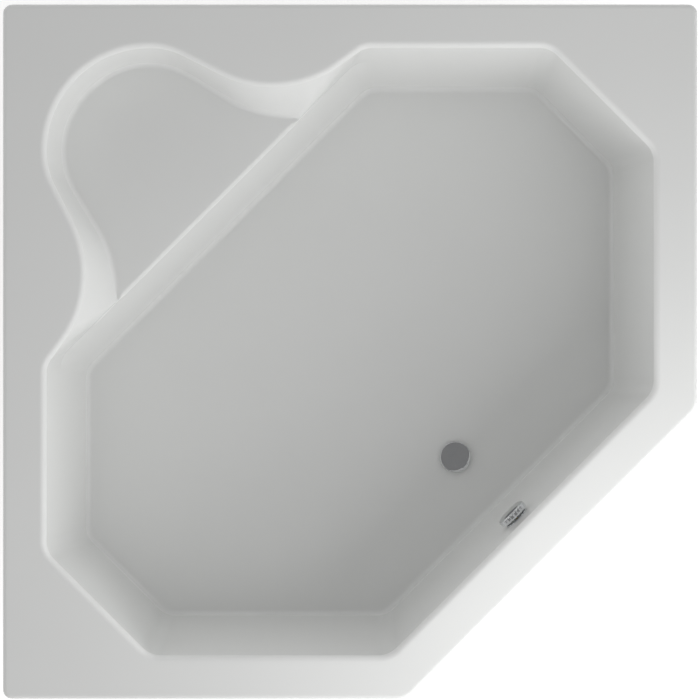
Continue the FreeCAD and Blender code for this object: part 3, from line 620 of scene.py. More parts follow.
def weld_bead(start: Place, end: Place, radius: float, ripples: int = 9,
              depth: float = 0.14, steps: int = 60) -> Patch:
    """Rippled bead of weld along a short line.

    The radius sinks between the ripples with the size of a cosine along the bead, and falls away
    at both ends as the root of 1 less the sixth power of the place from the middle.

    Args:
        start: First end.
        end: Last end.
        radius: Radius of the ripples' crests.
        ripples: Number of ripples.
        depth: Depth between the ripples, as a share of the radius.
        steps: Steps along the bead.

    Returns:
        The closed patch.
    """
    share = np.linspace(0.0, 1.0, steps + 1)
    path = np.array(start) + np.subtract(end, start) * share[:, None]
    ripple = 1 - depth + depth * np.abs(np.cos(math.pi * ripples * share))
    ends = np.sqrt(np.clip(1.02 - (2 * share - 1) ** 6, 0.0, 1.0))
    askew = (0.57, 0.61, 0.55)
    return pipe(path, radius * ripple * ends, 0.0, askew, segments=12)


def spider(hub: float, bore: float, reach: float, bar: float, low: float, high: float,
           arm_ease: float = 0.5, hub_ease: float = 0.4) -> list[Patch]:
    """Two crossed bars and a bored hub about Z, inside a round throat.

    Args:
        hub: Radius of the hub.
        bore: Radius of its hole.
        reach: Length of each arm from the axis.
        bar: Width of the arms.
        low: Height of the underside.
        high: Height of the top.
        arm_ease: Radius of the arms' edges.
        hub_ease: Radius of the hub's edges.

    Returns:
        The four arms and the hub.
    """
    middle = (bore + hub) / 2
    arm = plate(reach - middle, bar, low, high, arm_ease).shifted((reach + middle) / 2, 0.0, 0.0)
    quarter = np.array([[0.0, -1.0, 0.0], [1.0, 0.0, 0.0], [0.0, 0.0, 1.0]])
    arms = [arm.moved(np.linalg.matrix_power(quarter, turns), np.zeros(3)) for turns in range(4)]
    return arms + [ring(bore, hub, low, high, hub_ease, segments=40)]


def add_node(tree: bpy.types.NodeTree, kind: str, values: dict | None = None,
             links: dict | None = None, **settings: str) -> bpy.types.Node:
    """Adds a shader node to a tree.

    Args:
        tree: Where it goes.
        kind: Its type, without the common start.
        values: Constant values, by input.
        links: Sockets that feed its inputs, by input.
        settings: Its own options, such as an operation.

    Returns:
        The node.
    """
    node = tree.nodes.new(f"ShaderNode{kind}")
    for name, choice in settings.items():
        setattr(node, name, choice)
    for name, value in (values or {}).items():
        node.inputs[name].default_value = value
    for name, source in (links or {}).items():
        tree.links.new(source, node.inputs[name])
    return node


class Grain(Enum):
    """What the fine relief of a finish looks like."""

    FINE = "fine"
    FLAKES = "flakes"
    FIBRES = "fibres"
    TURNED = "turned"


@dataclass(frozen=True)
class Finish:
    """A surface finish: its colours, its gloss and its relief."""

    name: str
    colour: Colour
    tint: Colour
    tint_size: float
    roughness: float
    rough_spread: float
    grain: Grain
    grain_size: float
    grain_depth: float
    metallic: float = 0.0
    coat: float = 0.0
    coat_roughness: float = 0.03
    ior: float = 1.5
    tint_range: tuple[float, float] = (0.35, 0.65)
    shade_range: tuple[float, float] = (0.72, 1.12)

    def material(self) -> bpy.types.Material:
        """Builds the node material, once for each name.

        Returns:
            Colour from a soft mix of the two colours, roughness spread by the same pattern, and
            a bump from the grain, all on Object coordinates.
        """
        known = bpy.data.materials.get(self.name)
        if known is not None:
            return known
        material = bpy.data.materials.new(self.name)
        material.use_nodes = True
        tree = material.node_tree
        shader = tree.nodes["Principled BSDF"]
        shader.inputs["Metallic"].default_value = self.metallic
        shader.inputs["Coat Weight"].default_value = self.coat
        shader.inputs["Coat Roughness"].default_value = self.coat_roughness
        shader.inputs["IOR"].default_value = self.ior
        place = add_node(tree, "TexCoord").outputs["Object"]
        patches = add_node(tree, "TexNoise", {"Scale": 1.0 / (self.tint_size * MM), "Detail": 4.0},
                           {"Vector": place}).outputs["Fac"]
        colours = add_node(tree, "ValToRGB", links={"Fac": patches})
        steps = zip(colours.color_ramp.elements, self.tint_range, (self.colour, self.tint))
        for step, position, colour in steps:
            step.position = position
            step.color = (*colour, 1.0)
        spread = add_node(tree, "MapRange", {"To Min": self.roughness - self.rough_spread,
                                             "To Max": self.roughness + self.rough_spread},
                          {"Value": patches})
        tree.links.new(spread.outputs["Result"], shader.inputs["Roughness"])
        relief, shade = self._relief(tree, place)
        bump = add_node(tree, "Bump", {"Strength": 1.0, "Distance": self.grain_depth * MM},
                        {"Height": relief})
        tree.links.new(bump.outputs["Normal"], shader.inputs["Normal"])
        colour = self._shaded(tree, colours.outputs["Color"], shade)
        tree.links.new(colour, shader.inputs["Base Color"])
        return material

    def _relief(self, tree: bpy.types.NodeTree, place: bpy.types.NodeSocket
                ) -> tuple[bpy.types.NodeSocket, bpy.types.NodeSocket | None]:
        """Height pattern of the grain.

        Args:
            tree: Node tree of the material.
            place: Object coordinates.

        Returns:
            The height, and a value that darkens the colour or None.
        """
        scale, links = {"Scale": 1.0 / (self.grain_size * MM)}, {"Vector": place}
        if self.grain is Grain.FLAKES:
            cells = add_node(tree, "TexVoronoi", scale, links)
            return cells.outputs["Distance"], cells.outputs["Color"]
        if self.grain is Grain.TURNED:
            rings = add_node(tree, "TexWave", {**scale, "Distortion": 1.5}, links,
                             wave_type="BANDS", bands_direction="Z")
            return rings.outputs["Fac"], None
        if self.grain is Grain.FIBRES:
            values = {**scale, "Distortion": 6.0, "Detail": 6.0}
            fibres = add_node(tree, "TexNoise", values, links).outputs["Fac"]
            return fibres, fibres
        return add_node(tree, "TexNoise", {**scale, "Detail": 3.0}, links).outputs["Fac"], None

    def _shaded(self, tree: bpy.types.NodeTree, colour: bpy.types.NodeSocket,
                shade: bpy.types.NodeSocket | None) -> bpy.types.NodeSocket:
        """The colour, darkened a little where the grain's own value is low.

        Args:
            tree: Node tree of the material.
            colour: Plain colour.
            shade: Value of the grain, or None where the colour stays plain.

        Returns:
            The colour to use.
        """
        if shade is None:
            return colour
        low, high = self.shade_range
        light = add_node(tree, "MapRange", {"To Min": low, "To Max": high}, {"Value": shade})
        scaled = add_node(tree, "VectorMath", operation="SCALE",
                          links={0: colour, "Scale": light.outputs["Result"]})
        return scaled.outputs["Vector"]


# Finishes: name, colour, tint and its size, roughness and its spread, grain, its size and depth
ACRYLIC = Finish("white_acrylic", (0.88, 0.886, 0.876), (0.872, 0.878, 0.868), 220.0, 0.15, 0.03,
                 Grain.FINE, 90.0, 0.02, coat=0.25, coat_roughness=0.09)
GLASS_FIBRE = Finish("glass_fibre_back", (0.7, 0.69, 0.63), (0.6, 0.59, 0.53), 60.0, 0.55, 0.12,
                     Grain.FIBRES, 14.0, 1.2, coat=0.15, coat_roughness=0.3)
FRAME_PAINT = Finish("grey_powder_coat", (0.2, 0.207, 0.22), (0.18, 0.187, 0.2), 40.0, 0.42, 0.06,
                     Grain.FINE, 0.9, 0.05)
ZINC = Finish("zinc_plate", (0.62, 0.63, 0.64), (0.55, 0.56, 0.58), 6.0, 0.3, 0.08,
              Grain.FINE, 1.5, 0.02, metallic=1.0)
BLACK_PLASTIC = Finish("black_moulded_plastic", (0.03, 0.03, 0.033), (0.042, 0.042, 0.045), 18.0,
                       0.5, 0.08, Grain.FINE, 0.7, 0.04)
CHROME = Finish("chrome_plate", (0.72, 0.73, 0.74), (0.69, 0.7, 0.715), 30.0, 0.07, 0.02,
                Grain.FINE, 12.0, 0.004, metallic=1.0)
RUBBER = Finish("black_rubber", (0.03, 0.03, 0.03), (0.045, 0.045, 0.045), 9.0, 0.72, 0.08,
                Grain.FINE, 0.8, 0.05)
WHITE_PLASTIC = Finish("white_polypropylene", (0.8, 0.8, 0.79), (0.76, 0.76, 0.745), 25.0,
                       0.36, 0.06, Grain.FINE, 1.4, 0.03)
BRASS = Finish("turned_brass", (0.66, 0.5, 0.22), (0.6, 0.44, 0.18), 8.0, 0.28, 0.06,
               Grain.TURNED, 0.8, 0.02, metallic=1.0)
BOARD = Finish("raw_chipboard", (0.5, 0.36, 0.21), (0.6, 0.45, 0.29), 7.0, 0.75, 0.08,
               Grain.FLAKES, 3.2, 0.25)
JACKET = Finish("cable_jacket", (0.035, 0.035, 0.04), (0.045, 0.045, 0.05), 20.0, 0.45, 0.06,
                Grain.FINE, 1.0, 0.03)

SLOT_FINISH = {
    "acrylic": ACRYLIC,
    "board": BOARD,
    "frame_paint": FRAME_PAINT,
    "zinc_steel": ZINC,
    "black_plastic": BLACK_PLASTIC,
    "chrome": CHROME,
    "rubber": RUBBER,
    "white_plastic": WHITE_PLASTIC,
    "brass": BRASS,
    "cable_jacket": JACKET,
}


@dataclass
class Workshop:
    """Turns patches into finished Blender pieces."""

    sharp_angle: float = 40.0
    merge: float = 0.002

    def piece(self, name: str, patch: Patch, body: str, slot: str, nodes: tuple[str, ...],
              closed: bool = True) -> bpy.types.Object:
        """Makes a piece that stands for CAD nodes and rides on a body.

        Args:
            name: Name of the piece.
            patch: Its surface, in millimetres.
            body: CAD body it rides on.
            slot: Material slot of the record that it takes its finish from.
            nodes: CAD nodes that it stands for.
            closed: The surface is closed, so its faces can be turned outwards.

        Returns:
            The new object, at the origin.
        """
        mesh = bpy.data.meshes.new(name)
        count = len(patch.faces)
        mesh.vertices.add(len(patch.points))
        mesh.vertices.foreach_set("co", (patch.points * MM).astype(np.float32).ravel())
        mesh.loops.add(count * 4)
        mesh.loops.foreach_set("vertex_index", patch.faces.astype(np.int32).ravel())
        mesh.polygons.add(count)
        mesh.polygons.foreach_set("loop_start", np.arange(0, count * 4, 4, dtype=np.int32))
        mesh.update(calc_edges=True)
        self._welded(mesh, closed)
        mesh.polygons.foreach_set("use_smooth", np.ones(len(mesh.polygons), bool))
        mesh.set_sharp_from_angle(angle=math.radians(self.sharp_angle))
        piece = bpy.data.objects.new(name, mesh)
        bpy.context.scene.collection.objects.link(piece)
        piece.data.materials.append(SLOT_FINISH[slot].material())
        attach(piece, body)
        if nodes:
            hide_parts(*nodes)
        LOG.info("%s: %d faces", name, len(mesh.polygons))
        return piece

    def _welded(self, mesh: bpy.types.Mesh, closed: bool) -> None:
        """Joins doubled points, drops faces of no size and turns closed surfaces outwards.

        Args:
            mesh: Changed in place.
            closed: The surface is closed.
        """
        work = bmesh.new()
        work.from_mesh(mesh)
        bmesh.ops.remove_doubles(work, verts=work.verts, dist=self.merge * MM)
        bmesh.ops.dissolve_degenerate(work, edges=work.edges, dist=self.merge * MM)
        if closed:
            bmesh.ops.recalc_face_normals(work, faces=work.faces)
        work.to_mesh(mesh)
        work.free()


@dataclass
class Assembly:
    """A sub-assembly of the tub, whose pieces the workshop makes."""

    workshop: Workshop

    def build(self) -> None:
        """Makes the pieces."""
        raise NotImplementedError

    def stand_in(self, node: str, look: str, patch: Patch, slot: str, body: str = "tub") -> None:
        """Makes the closed piece that stands for one CAD node and is named for it and its look."""
        self.workshop.piece(f"{node}_{look}", patch, body, slot, (node,))


@dataclass
class Moulding(Assembly):
    """The moulded shell: lip, rim, seat bay, walls and floor, with the sizes of the solid.

    The foot of the bay is rounder, and its flanks swell a little further in.
    """

    side: float = 1500.0
    front_reach: float = 617.0
    rim_width: float = 93.0
    chamfer_inset: float = 159.0
    corner_radius: float = 20.0
    front_corner_radius: float = 45.0
    well_corner_radius: float = 55.0
    rim_height: float = RIM_HEIGHT
    well_depth: float = 430.0
    seat_depth: float = 150.0
    lip_height: float = 45.0
    wall: float = SHELL_WALL
    side_lean: float = 33.5
    front_lean: float = 22.0
    chamfer_lean: float = 20.5
    seat_front_lean: float = 35.0
    bay_radius: float = 224.0
    bay_reach: float = 262.5
    shoulder_radius: float = 148.0
    bay_slope: float = 26.6
    neck_run: float = 245.0
    neck_radius: float = 250.0
    ramp_slope: float = 34.0
    ramp_radius: float = 48.0
    seat_length: float = 483.0
    seat_neck_share: float = 0.785
    seat_slope: float = 31.5
    seat_neck_slope: float = 5.0
    rim_edge: float = 14.0
    lip_edge: float = 10.0
    floor_edge: float = 14.0
    seat_edge: float = 13.0
    seat_front_edge: float = 10.0
    drain_reach: float = DRAIN_REACH
    drain_hole: float = 26.0
    swell: float = 10.0
    swell_start: float = 815.0
    swell_rise: float = 120.0
    swell_fall: float = 150.0
    guard: float = 2.0
    fade: float = 26.0
    # Edges of the outlines: the seat's two front corners, and lines of no length at the seat
    first_corner: int = 5
    second_corner: int = 22
    empty_edges: tuple[int, ...] = (5, 6, 24, 25)
    # Spacing of the grid's columns, and the rows on its parts as shares or steps
    column_turn: float = 4.5
    column_step: float = 32.0
    corner_columns: int = 8
    rim_steps: int = 10
    edge_steps: int = 8
    brim_rows: tuple[float, ...] = (0.0, 0.33, 0.66, 1.0)
    upper_rows: tuple[float, ...] = (0.015, 0.2, 0.4, 0.6, 0.8, 0.985)
    shelf_rows: tuple[float, ...] = (0.0, 0.03, 0.25, 0.5, 0.75, 0.97, 1.0)
    lower_rows: tuple[float, ...] = (0.012, 0.2, 0.4, 0.6, 0.8, 0.988)
    floor_rows: tuple[float, ...] = (0.0, 0.25, 0.5, 0.75, 1.0)

    def __post_init__(self) -> None:
        """Works out the reaches that follow from the well's back and side corners."""
        corner = (self.side / 2 - self.rim_width) * ROOT2
        self.chamfer_reach = corner - self.chamfer_inset
        self.seat_front_reach = corner - self.seat_length

    def sides(self, depth: float) -> tuple[float, float, float]:
        """Distances of the walls from the middle, which shrink evenly with the depth.

        Args:
            depth: Depth below the rim.

        Returns:
            Distances of the side, front and chamfered walls.
        """
        share = depth / self.well_depth
        return (self.side / 2 - self.rim_width - self.side_lean * share,
                self.front_reach - self.rim_width - self.front_lean * share,
                self.chamfer_reach - self.chamfer_lean * share)

    def front_corners(self, depth: float) -> list[tuple[float, float]]:
        """Well corners from the chamfer to the front wall, on one half.

        Args:
            depth: Depth below the rim.

        Returns:
            The corners, clockwise.
        """
        side, front, chamfer = self.sides(depth)
        chamfer_end = chamfer * ROOT2 - side
        return [(chamfer_end, side), (side, chamfer_end), (side, side - front * ROOT2)]

    @staticmethod
    def both_halves(half: list[tuple[float, float]], radii: list[float],
                    middle: list[tuple[float, float]], middle_radii: list[float]) -> Outline:
        """Outline of a half and its image (-y, -x) across the diagonal, after a middle corner."""
        mirror = [(-y, -x) for x, y in reversed(half)]
        return Outline.rounded(np.array(middle + half + mirror),
                               np.array(middle_radii + radii + radii[::-1]))

    def rim_outline(self) -> Outline:
        """Outline of the well at the rim.

        Returns:
            The outline, from the bay's round end on.
        """
        side = self.sides(0)[0]
        fall, climb = (math.tan(math.radians(slope)) for slope in (self.bay_slope, self.ramp_slope))
        shoulder = (self.bay_reach - side, side)
        neck = (shoulder[0] + self.neck_run, side - self.neck_run * fall)
        ramp = (neck[0] + (side - neck[1]) / climb, side)
        radii = [self.shoulder_radius, self.neck_radius, self.ramp_radius]
        radii += [self.well_corner_radius] * 3
        return self.both_halves([shoulder, neck, ramp] + self.front_corners(0), radii,
                                [(-side, side)], [self.bay_radius])

    def on_seat_front(self, start: Array, slope: float) -> Array:
        """Where a line that falls at a slope to the wall meets the line of the seat's front.

        The way along the line is the distance left to the front over the line's share towards it.

        Args:
            start: Plan point on the line.
            slope: Slope in degrees.

        Returns:
            The meeting point.
        """
        run = np.array([1.0, -math.tan(math.radians(slope))])
        to_front = np.array([1.0, -1.0]) / ROOT2
        return start + run * (-self.seat_front_reach - start @ to_front) / (run @ to_front)

    def seat_outline(self) -> Outline:
        """Outline at the seat.

        Returns:
            The outline; the neck's arc runs out at the seat's front corner.
        """
        side = self.sides(self.seat_depth)[0]
        shoulder = np.array([self.bay_reach - side, side])
        front_end = self.on_seat_front(shoulder, self.seat_slope)
        neck = shoulder + (front_end - shoulder) * self.seat_neck_share
        corner = self.on_seat_front(neck, self.seat_neck_slope)
        back = (side - self.seat_front_reach * ROOT2, side)
        half = [tuple(shoulder), tuple(neck), tuple(corner), back]
        arriving, leaving = unit(neck - shoulder), unit(corner - neck)
        turn = math.acos(float(np.clip(arriving @ leaving, -1, 1)))
        neck_radius = float(np.linalg.norm(corner - neck)) / math.tan(turn / 2)
        radii = [self.shoulder_radius, neck_radius, 0.0] + [self.well_corner_radius] * 4
        bay = self.bay_radius - self.side_lean * self.seat_depth / self.well_depth
        outline = self.both_halves(half + self.front_corners(self.seat_depth), radii,
                                   [(-side, side)], [bay])
        return outline.without(list(self.empty_edges))

    def lower_outline(self, depth: float) -> Outline:
        """Eight-sided outline of the well below the seat.

        Args:
            depth: Depth below the rim.

        Returns:
            The outline; its last line is the seat's front.
        """
        side = self.sides(depth)[0]
        share = (depth - self.seat_depth) / (self.well_depth - self.seat_depth)
        back = self.seat_front_reach - self.seat_front_lean * share
        half = [(side - back * ROOT2, side)] + self.front_corners(depth)
        return self.both_halves(half, [self.well_corner_radius] * 4, [], [])

    def outer_outline(self) -> Outline:
        """Outline of the whole tub.

        Returns:
            The outline, with its cut front corner.
        """
        half = self.side / 2
        cut = half - self.front_reach * ROOT2
        points = [(-half, half), (half, half), (half, cut), (-cut, -half), (-half, -half)]
        radii = [self.corner_radius] * 2 + [self.front_corner_radius] * 2 + [self.corner_radius]
        return Outline.rounded(np.array(points), np.array(radii))

    def columns(self) -> Array:
        """Places of the grid's columns on the rim outline, from the seat's first corner round.

        Evenly spaced places, with more where the tub's own corners are rounded, at the same
        bearings from the middle.

        Returns:
            Edge number plus share, from the first corner on.
        """
        rim, outer = self.rim_outline(), self.outer_outline()
        base = rim.samples(math.radians(self.column_turn), self.column_step)
        arcs = np.flatnonzero(outer.radius > 0)
        on_arcs = arcs[:, None] + np.linspace(0.0, 0.999, self.corner_columns)[None, :]
        extra = rim.place_at(outer.drawn(on_arcs.ravel())[0])
        apart = np.abs(extra[:, None] - base[None, :]).min(axis=1) > 0.01
        places = np.sort(np.concatenate([base, extra[apart]]))
        return places[np.argsort(np.mod(places - self.first_corner, len(rim.radius)))]

    def lower_ring(self, depth: float, places: Array, across: Array) -> tuple[Array, Array]:
        """Ring of the lower well for the columns.

        Columns on the walls keep their own edges. Columns of the bay and its flanks lie on the
        seat's front line at the share that their distance across has at the seat.

        Args:
            depth: Depth below the rim.
            places: Columns on the rim outline.
            across: Distance of each column across the diagonal, at the seat.

        Returns:
            Plan points and outward normals.
        """
        lower, seat = self.lower_outline(depth), self.lower_outline(self.seat_depth)
        last = len(lower.radius) - 1
        ends = np.stack([seat.start[last], seat.end[last]]).sum(axis=1) / ROOT2
        share = np.clip((across - ends[0]) / (ends[1] - ends[0]), 0.0, 1.0)
        shift = self.first_corner + 1
        on_wall = (places >= shift) & (places < self.second_corner - 1)
        edge = np.where(on_wall, np.floor(places).astype(int) - shift, last)
        return lower.at(edge, np.where(on_wall, np.mod(places, 1.0), share))

    def flank_swell(self, seat: Array) -> Array:
        """How far the foot of the bay's flanks stands further in than the outline at the seat.

        The swell is its full size times a smooth step up from the round end and a smooth step
        down to the seat's front, both along the diagonal.

        Args:
            seat: Plan points at the seat.

        Returns:
            Distance inwards at each point.
        """
        along = (seat[:, 0] - seat[:, 1]) / ROOT2
        rise = smooth_step((along + self.swell_start) / self.swell_rise)
        return self.swell * rise * smooth_step((-self.seat_front_reach - along) / self.swell_fall)

    def build(self) -> None:
        """Makes the shell and gives it its thickness and its glass fibre back."""
        places = self.columns()
        rim, rim_normal = self.rim_outline().drawn(places)
        seat, seat_normal = self.seat_outline().drawn(places)
        across = seat.sum(axis=1) / ROOT2
        seat = seat - seat_normal * self.flank_swell(seat)[:, None]
        in_bay = (places >= self.second_corner) | (places < self.first_corner)
        fade = smooth_step(np.abs(np.abs(across) - across[0]) / self.fade)
        brim = self._brim(rim, rim_normal)
        upper = self._upper_wall(rim, rim_normal, seat, seat_normal, in_bay, fade)
        lower = self._lower_wall(places, across, in_bay, fade)
        bay = np.append(np.flatnonzero(in_bay), 0)
        shelf = between(upper[-1][bay], lower[0][bay], self.shelf_rows)
        grids = [grid_patch(np.concatenate([brim, upper])), grid_patch(lower),
                 grid_patch(shelf, around=False)]
        piece = self.workshop.piece("tub_moulding", joined(grids).flipped(), "tub",
                                    "acrylic", ("tub_shell",), closed=False)
        piece.data.materials.append(GLASS_FIBRE.material())
        thick = piece.modifiers.new("wall", "SOLIDIFY")
        thick.thickness = self.wall * MM
        thick.offset = -1.0
        thick.use_even_offset = True
        thick.use_quality_normals = True
        thick.material_offset = 1
        thick.material_offset_rim = 0

    def _brim(self, rim: Array, normal: Array) -> Array:
        """Rows from the lip's lower edge, over its rounded top and across the flat rim.

        On the round the outline steps in by r * (1 - cos a) while the height grows by r * sin a.

        Args:
            rim: Plan points of the well's edge.
            normal: Their outward normals.

        Returns:
            Rows that end a guard's width from the rounded inner edge.
        """
        outline = self.outer_outline()
        edge, outward = outline.drawn(outline.place_at(rim))
        low, bend = self.rim_height - self.lip_height, self.rim_height - self.lip_edge
        turn = np.linspace(0.0, math.pi / 2, self.edge_steps + 1)
        upright = [low, low + self.guard, (low + bend) / 2, bend - self.guard]
        heights = np.append(upright, bend + self.lip_edge * np.sin(turn))
        insets = np.append(np.zeros(len(upright)), self.lip_edge * (1 - np.cos(turn)))
        lip = lifted(edge - outward * insets[:, None, None], heights[:, None])
        first = lifted(edge - outward * (self.lip_edge + self.guard), self.rim_height)
        last = lifted(rim + normal * (self.rim_edge + self.guard), self.rim_height)
        return np.concatenate([lip, between(first, last, self.brim_rows)])

    def _upper_wall(self, rim: Array, rim_normal: Array, seat: Array, seat_normal: Array,
                    in_bay: Array, fade: Array) -> Array:
        """Rows from the rounded rim edge down to the seat's level.

        Each column is an arc at the rim, a straight line down, and at its foot an arc on to the
        seat or, beside the seat, the line's own end.

        Args:
            rim: Plan points of the well's edge.
            rim_normal: Their outward normals.
            seat: Plan points at the seat.
            seat_normal: Their outward normals.
            in_bay: Columns that end on the seat.
            fade: Share of the seat's rounding at each column.

        Returns:
            The rows.
        """
        top = lifted(rim, self.rim_height)
        foot = lifted(seat, self.rim_height - self.seat_depth)
        down = unit(foot - top)
        edge = corner_arc(top, lifted(rim_normal, 0.0), down, np.full(len(rim), self.rim_edge),
                          self.rim_steps)
        radius = self.seat_edge * fade
        bay_round = corner_arc(foot, -down, lifted(-seat_normal, 0.0), radius, self.edge_steps)
        steps = np.linspace(1.0, 0.0, self.edge_steps + 1)[:, None, None]
        plain = foot - down * (radius[:, None] * steps)
        ending = np.where(in_bay[None, :, None], bay_round, plain)
        wall = between(edge[-1], ending[0], self.upper_rows)
        return np.concatenate([edge, wall, ending])

    def _lower_wall(self, places: Array, across: Array, in_bay: Array, fade: Array) -> Array:
        """Rows from the seat's level down the walls and over the floor to the drain.

        Each column is an arc over the seat's nose or the start of the wall, a straight line down,
        an arc on to the floor, and a straight line to a circle round the drain.

        Args:
            places: Columns on the rim outline.
            across: Distance of each column across the diagonal, at the seat.
            in_bay: Columns on the seat's front.
            fade: Share of the seat's rounding at each column.

        Returns:
            The rows, from the seat's front edge or the wall to the edge of the drain hole.
        """
        ground = self.rim_height - self.well_depth
        plan, _ = self.lower_ring(self.seat_depth, places, across)
        floor_plan, floor_normal = self.lower_ring(self.well_depth, places, across)
        top = lifted(plan, self.rim_height - self.seat_depth)
        foot = lifted(floor_plan, ground)
        down = unit(foot - top)
        back = np.broadcast_to(np.append(diagonal_plan(-1.0, 0.0), 0.0), top.shape)
        radius = self.seat_front_edge * fade
        nose = corner_arc(top, back, down, radius, self.edge_steps)
        steps = np.linspace(0.0, 1.0, self.edge_steps + 1)[:, None, None]
        plain = top + down * (radius[:, None] * steps)
        start = np.where(in_bay[None, :, None], nose, plain)
        inward = lifted(-floor_normal, 0.0)
        turn = corner_arc(foot, -down, inward, np.full(len(foot), self.floor_edge),
                          self.edge_steps)
        wall = between(start[-1], turn[0], self.lower_rows)
        floor = turn[-1] + inward * self.guard
        drain = np.append(diagonal_plan(self.drain_reach, 0.0), ground)
        spoke = unit(floor - drain)
        near = drain + spoke * (self.drain_hole + self.guard * 2)
        hole = (drain + spoke * self.drain_hole)[None]
        return np.concatenate([start, wall, turn, between(floor, near, self.floor_rows), hole])


@dataclass
class Boards(Assembly):
    """Chipboard panels that are laminated under the floor and under the seat."""

    moulding: Moulding
    thickness: float = 16.0
    inset: float = 40.0
    frame_top: float = 188.0
    ease: float = 1.2
    edge_turn: float = 6.0
    edge_step: float = 30.0
    drain_hole: float = 60.0
    seat_length: float = 200.0
    seat_width: float = 300.0
    seat_top: float = 484.0

    def build(self) -> None:
        """Makes the base board, with its hole round the drain, and the seat board."""
        outline = self.moulding.lower_outline(self.moulding.well_depth)
        places = outline.samples(math.radians(self.edge_turn), self.edge_step)
        edge, outward = outline.drawn(places)
        drain = diagonal_plan(DRAIN_REACH, 0.0)
        edge = edge - outward * self.inset
        hole = drain + unit(edge - drain) * self.drain_hole
        top = self.frame_top + self.thickness
        base = slab(edge, outward, self.frame_top, top, self.ease, hole)
        self.stand_in("base_board", "panel", base, "board")
        seat = plate(self.seat_length, self.seat_width, self.seat_top - self.thickness,
                     self.seat_top, self.ease).shifted(-SEAT_POST_REACH, 0.0, 0.0)
        self.stand_in("seat_board", "panel", seat.turned(), "board")


@dataclass
class Frame(Assembly):
    """Welded frame of square tube: level beams, posts to the rim and the seat, caps and welds."""

    size: float = 25.0
    wall: float = 2.0
    edge: float = 3.0
    axis_height: float = 175.5
    post_foot: float = 188.0
    post_top: float = 631.0
    seat_post_top: float = 468.0
    rear: float = -1000.66
    side: float = 985.66
    front: float = 580.0
    front_side: float = 419.66
    seat_post: float = -SEAT_POST_REACH
    cap: float = 3.0
    cap_insert: float = 5.0
    cap_ease: float = 1.0
    bead: float = 1.7
    upright_bead: float = 0.42
    level_bead: float = 0.4

    def posts(self) -> dict[str, tuple[float, float]]:
        """Places of the posts that carry the rim, along the diagonal and across it."""
        return {"rear": (self.rear, 0.0), "left": (0.0, -self.side), "right": (0.0, self.side),
                "front_left": (self.front, -self.front_side),
                "front_right": (self.front, self.front_side)}

    def build(self) -> None:
        """Makes the tubes, the caps and plugs in their ends, and the weld beads."""
        half = self.size / 2
        side, across = self.side + half, self.front_side + half
        rail_start, rail_end = half, self.front - half
        level = {
            "main_beam": ((0.0, -side), (0.0, side)),
            "rear_spine": ((self.rear - half, 0.0), (-half, 0.0)),
            "front_beam": ((self.front, -across), (self.front, across)),
            "side_rail_left": ((rail_start, -self.front_side), (rail_end, -self.front_side)),
            "side_rail_right": ((rail_start, self.front_side), (rail_end, self.front_side)),
        }
        tubes = {node: [(*end, self.axis_height) for end in ends] for node, ends in level.items()}
        for name, place in self.posts().items():
            tubes[f"upright_{name}"] = [(*place, self.post_foot), (*place, self.post_top)]
        tubes["seat_post"] = [(self.seat_post, 0.0, self.post_foot),
                              (self.seat_post, 0.0, self.seat_post_top)]
        for node, (start, end) in tubes.items():
            tube = square_tube(start, end, self.size, self.wall, self.edge)
            self.stand_in(node, "tube", tube.turned(), "frame_paint")
        self._ends()
        self._welds()

    def _ends(self) -> None:
        """Makes the caps on the posts and the plugs in the open ends of the level tubes."""
        insert = self.size - (self.wall + RUNNING_GAP) * 2
        cap = joined([plate(self.size, self.size, 0.0, self.cap, self.cap_ease),
                      plate(insert, insert, -self.cap_insert, 0.0, self.cap_ease)])
        caps = [cap.shifted(*place, self.post_top) for place in self.posts().values()]
        self.stand_in("post_caps", "moulded", joined(caps).turned(), "black_plastic")
        half = self.size / 2
        ends = [((self.rear - half, 0.0), (-1.0, 0.0, 0.0))]
        for sign in SIGNS:
            ends.append(((0.0, sign * (self.side + half)), (0.0, sign, 0.0)))
            ends.append(((self.front, sign * (self.front_side + half)), (0.0, sign, 0.0)))
        plugs = [cap.moved(axis_frame(outward), (*place, self.axis_height))
                 for place, outward in ends]
        self.stand_in("tube_plugs", "moulded", joined(plugs).turned(), "black_plastic")

    def _welds(self) -> None:
        """Makes upright beads in the corners between level tubes, and beads at the posts' feet."""
        half, reach, foot = self.size / 2, self.size * self.level_bead, self.post_foot
        low = self.axis_height - self.size * self.upright_bead
        high = self.axis_height + self.size * self.upright_bead
        meets = [(-half, 0.0)] + [(along, sign * self.front_side)
                                  for along in (half, self.front - half) for sign in SIGNS]
        lines = [((along, across + edge, low), (along, across + edge, high))
                 for along, across in meets for edge in (-half, half)]
        spine = (self.rear + half, self.seat_post - half, self.seat_post + half)
        lines += [((along, -reach, foot), (along, reach, foot)) for along in spine]
        beams = ((0.0, self.side - half), (self.front, self.front_side - half))
        lines += [((along - reach, sign * across, foot), (along + reach, sign * across, foot))
                  for along, across in beams for sign in SIGNS]
        beads = [weld_bead(start, end, self.bead) for start, end in lines]
        self.workshop.piece("weld_beads", joined(beads).turned(), "tub", "frame_paint", ())


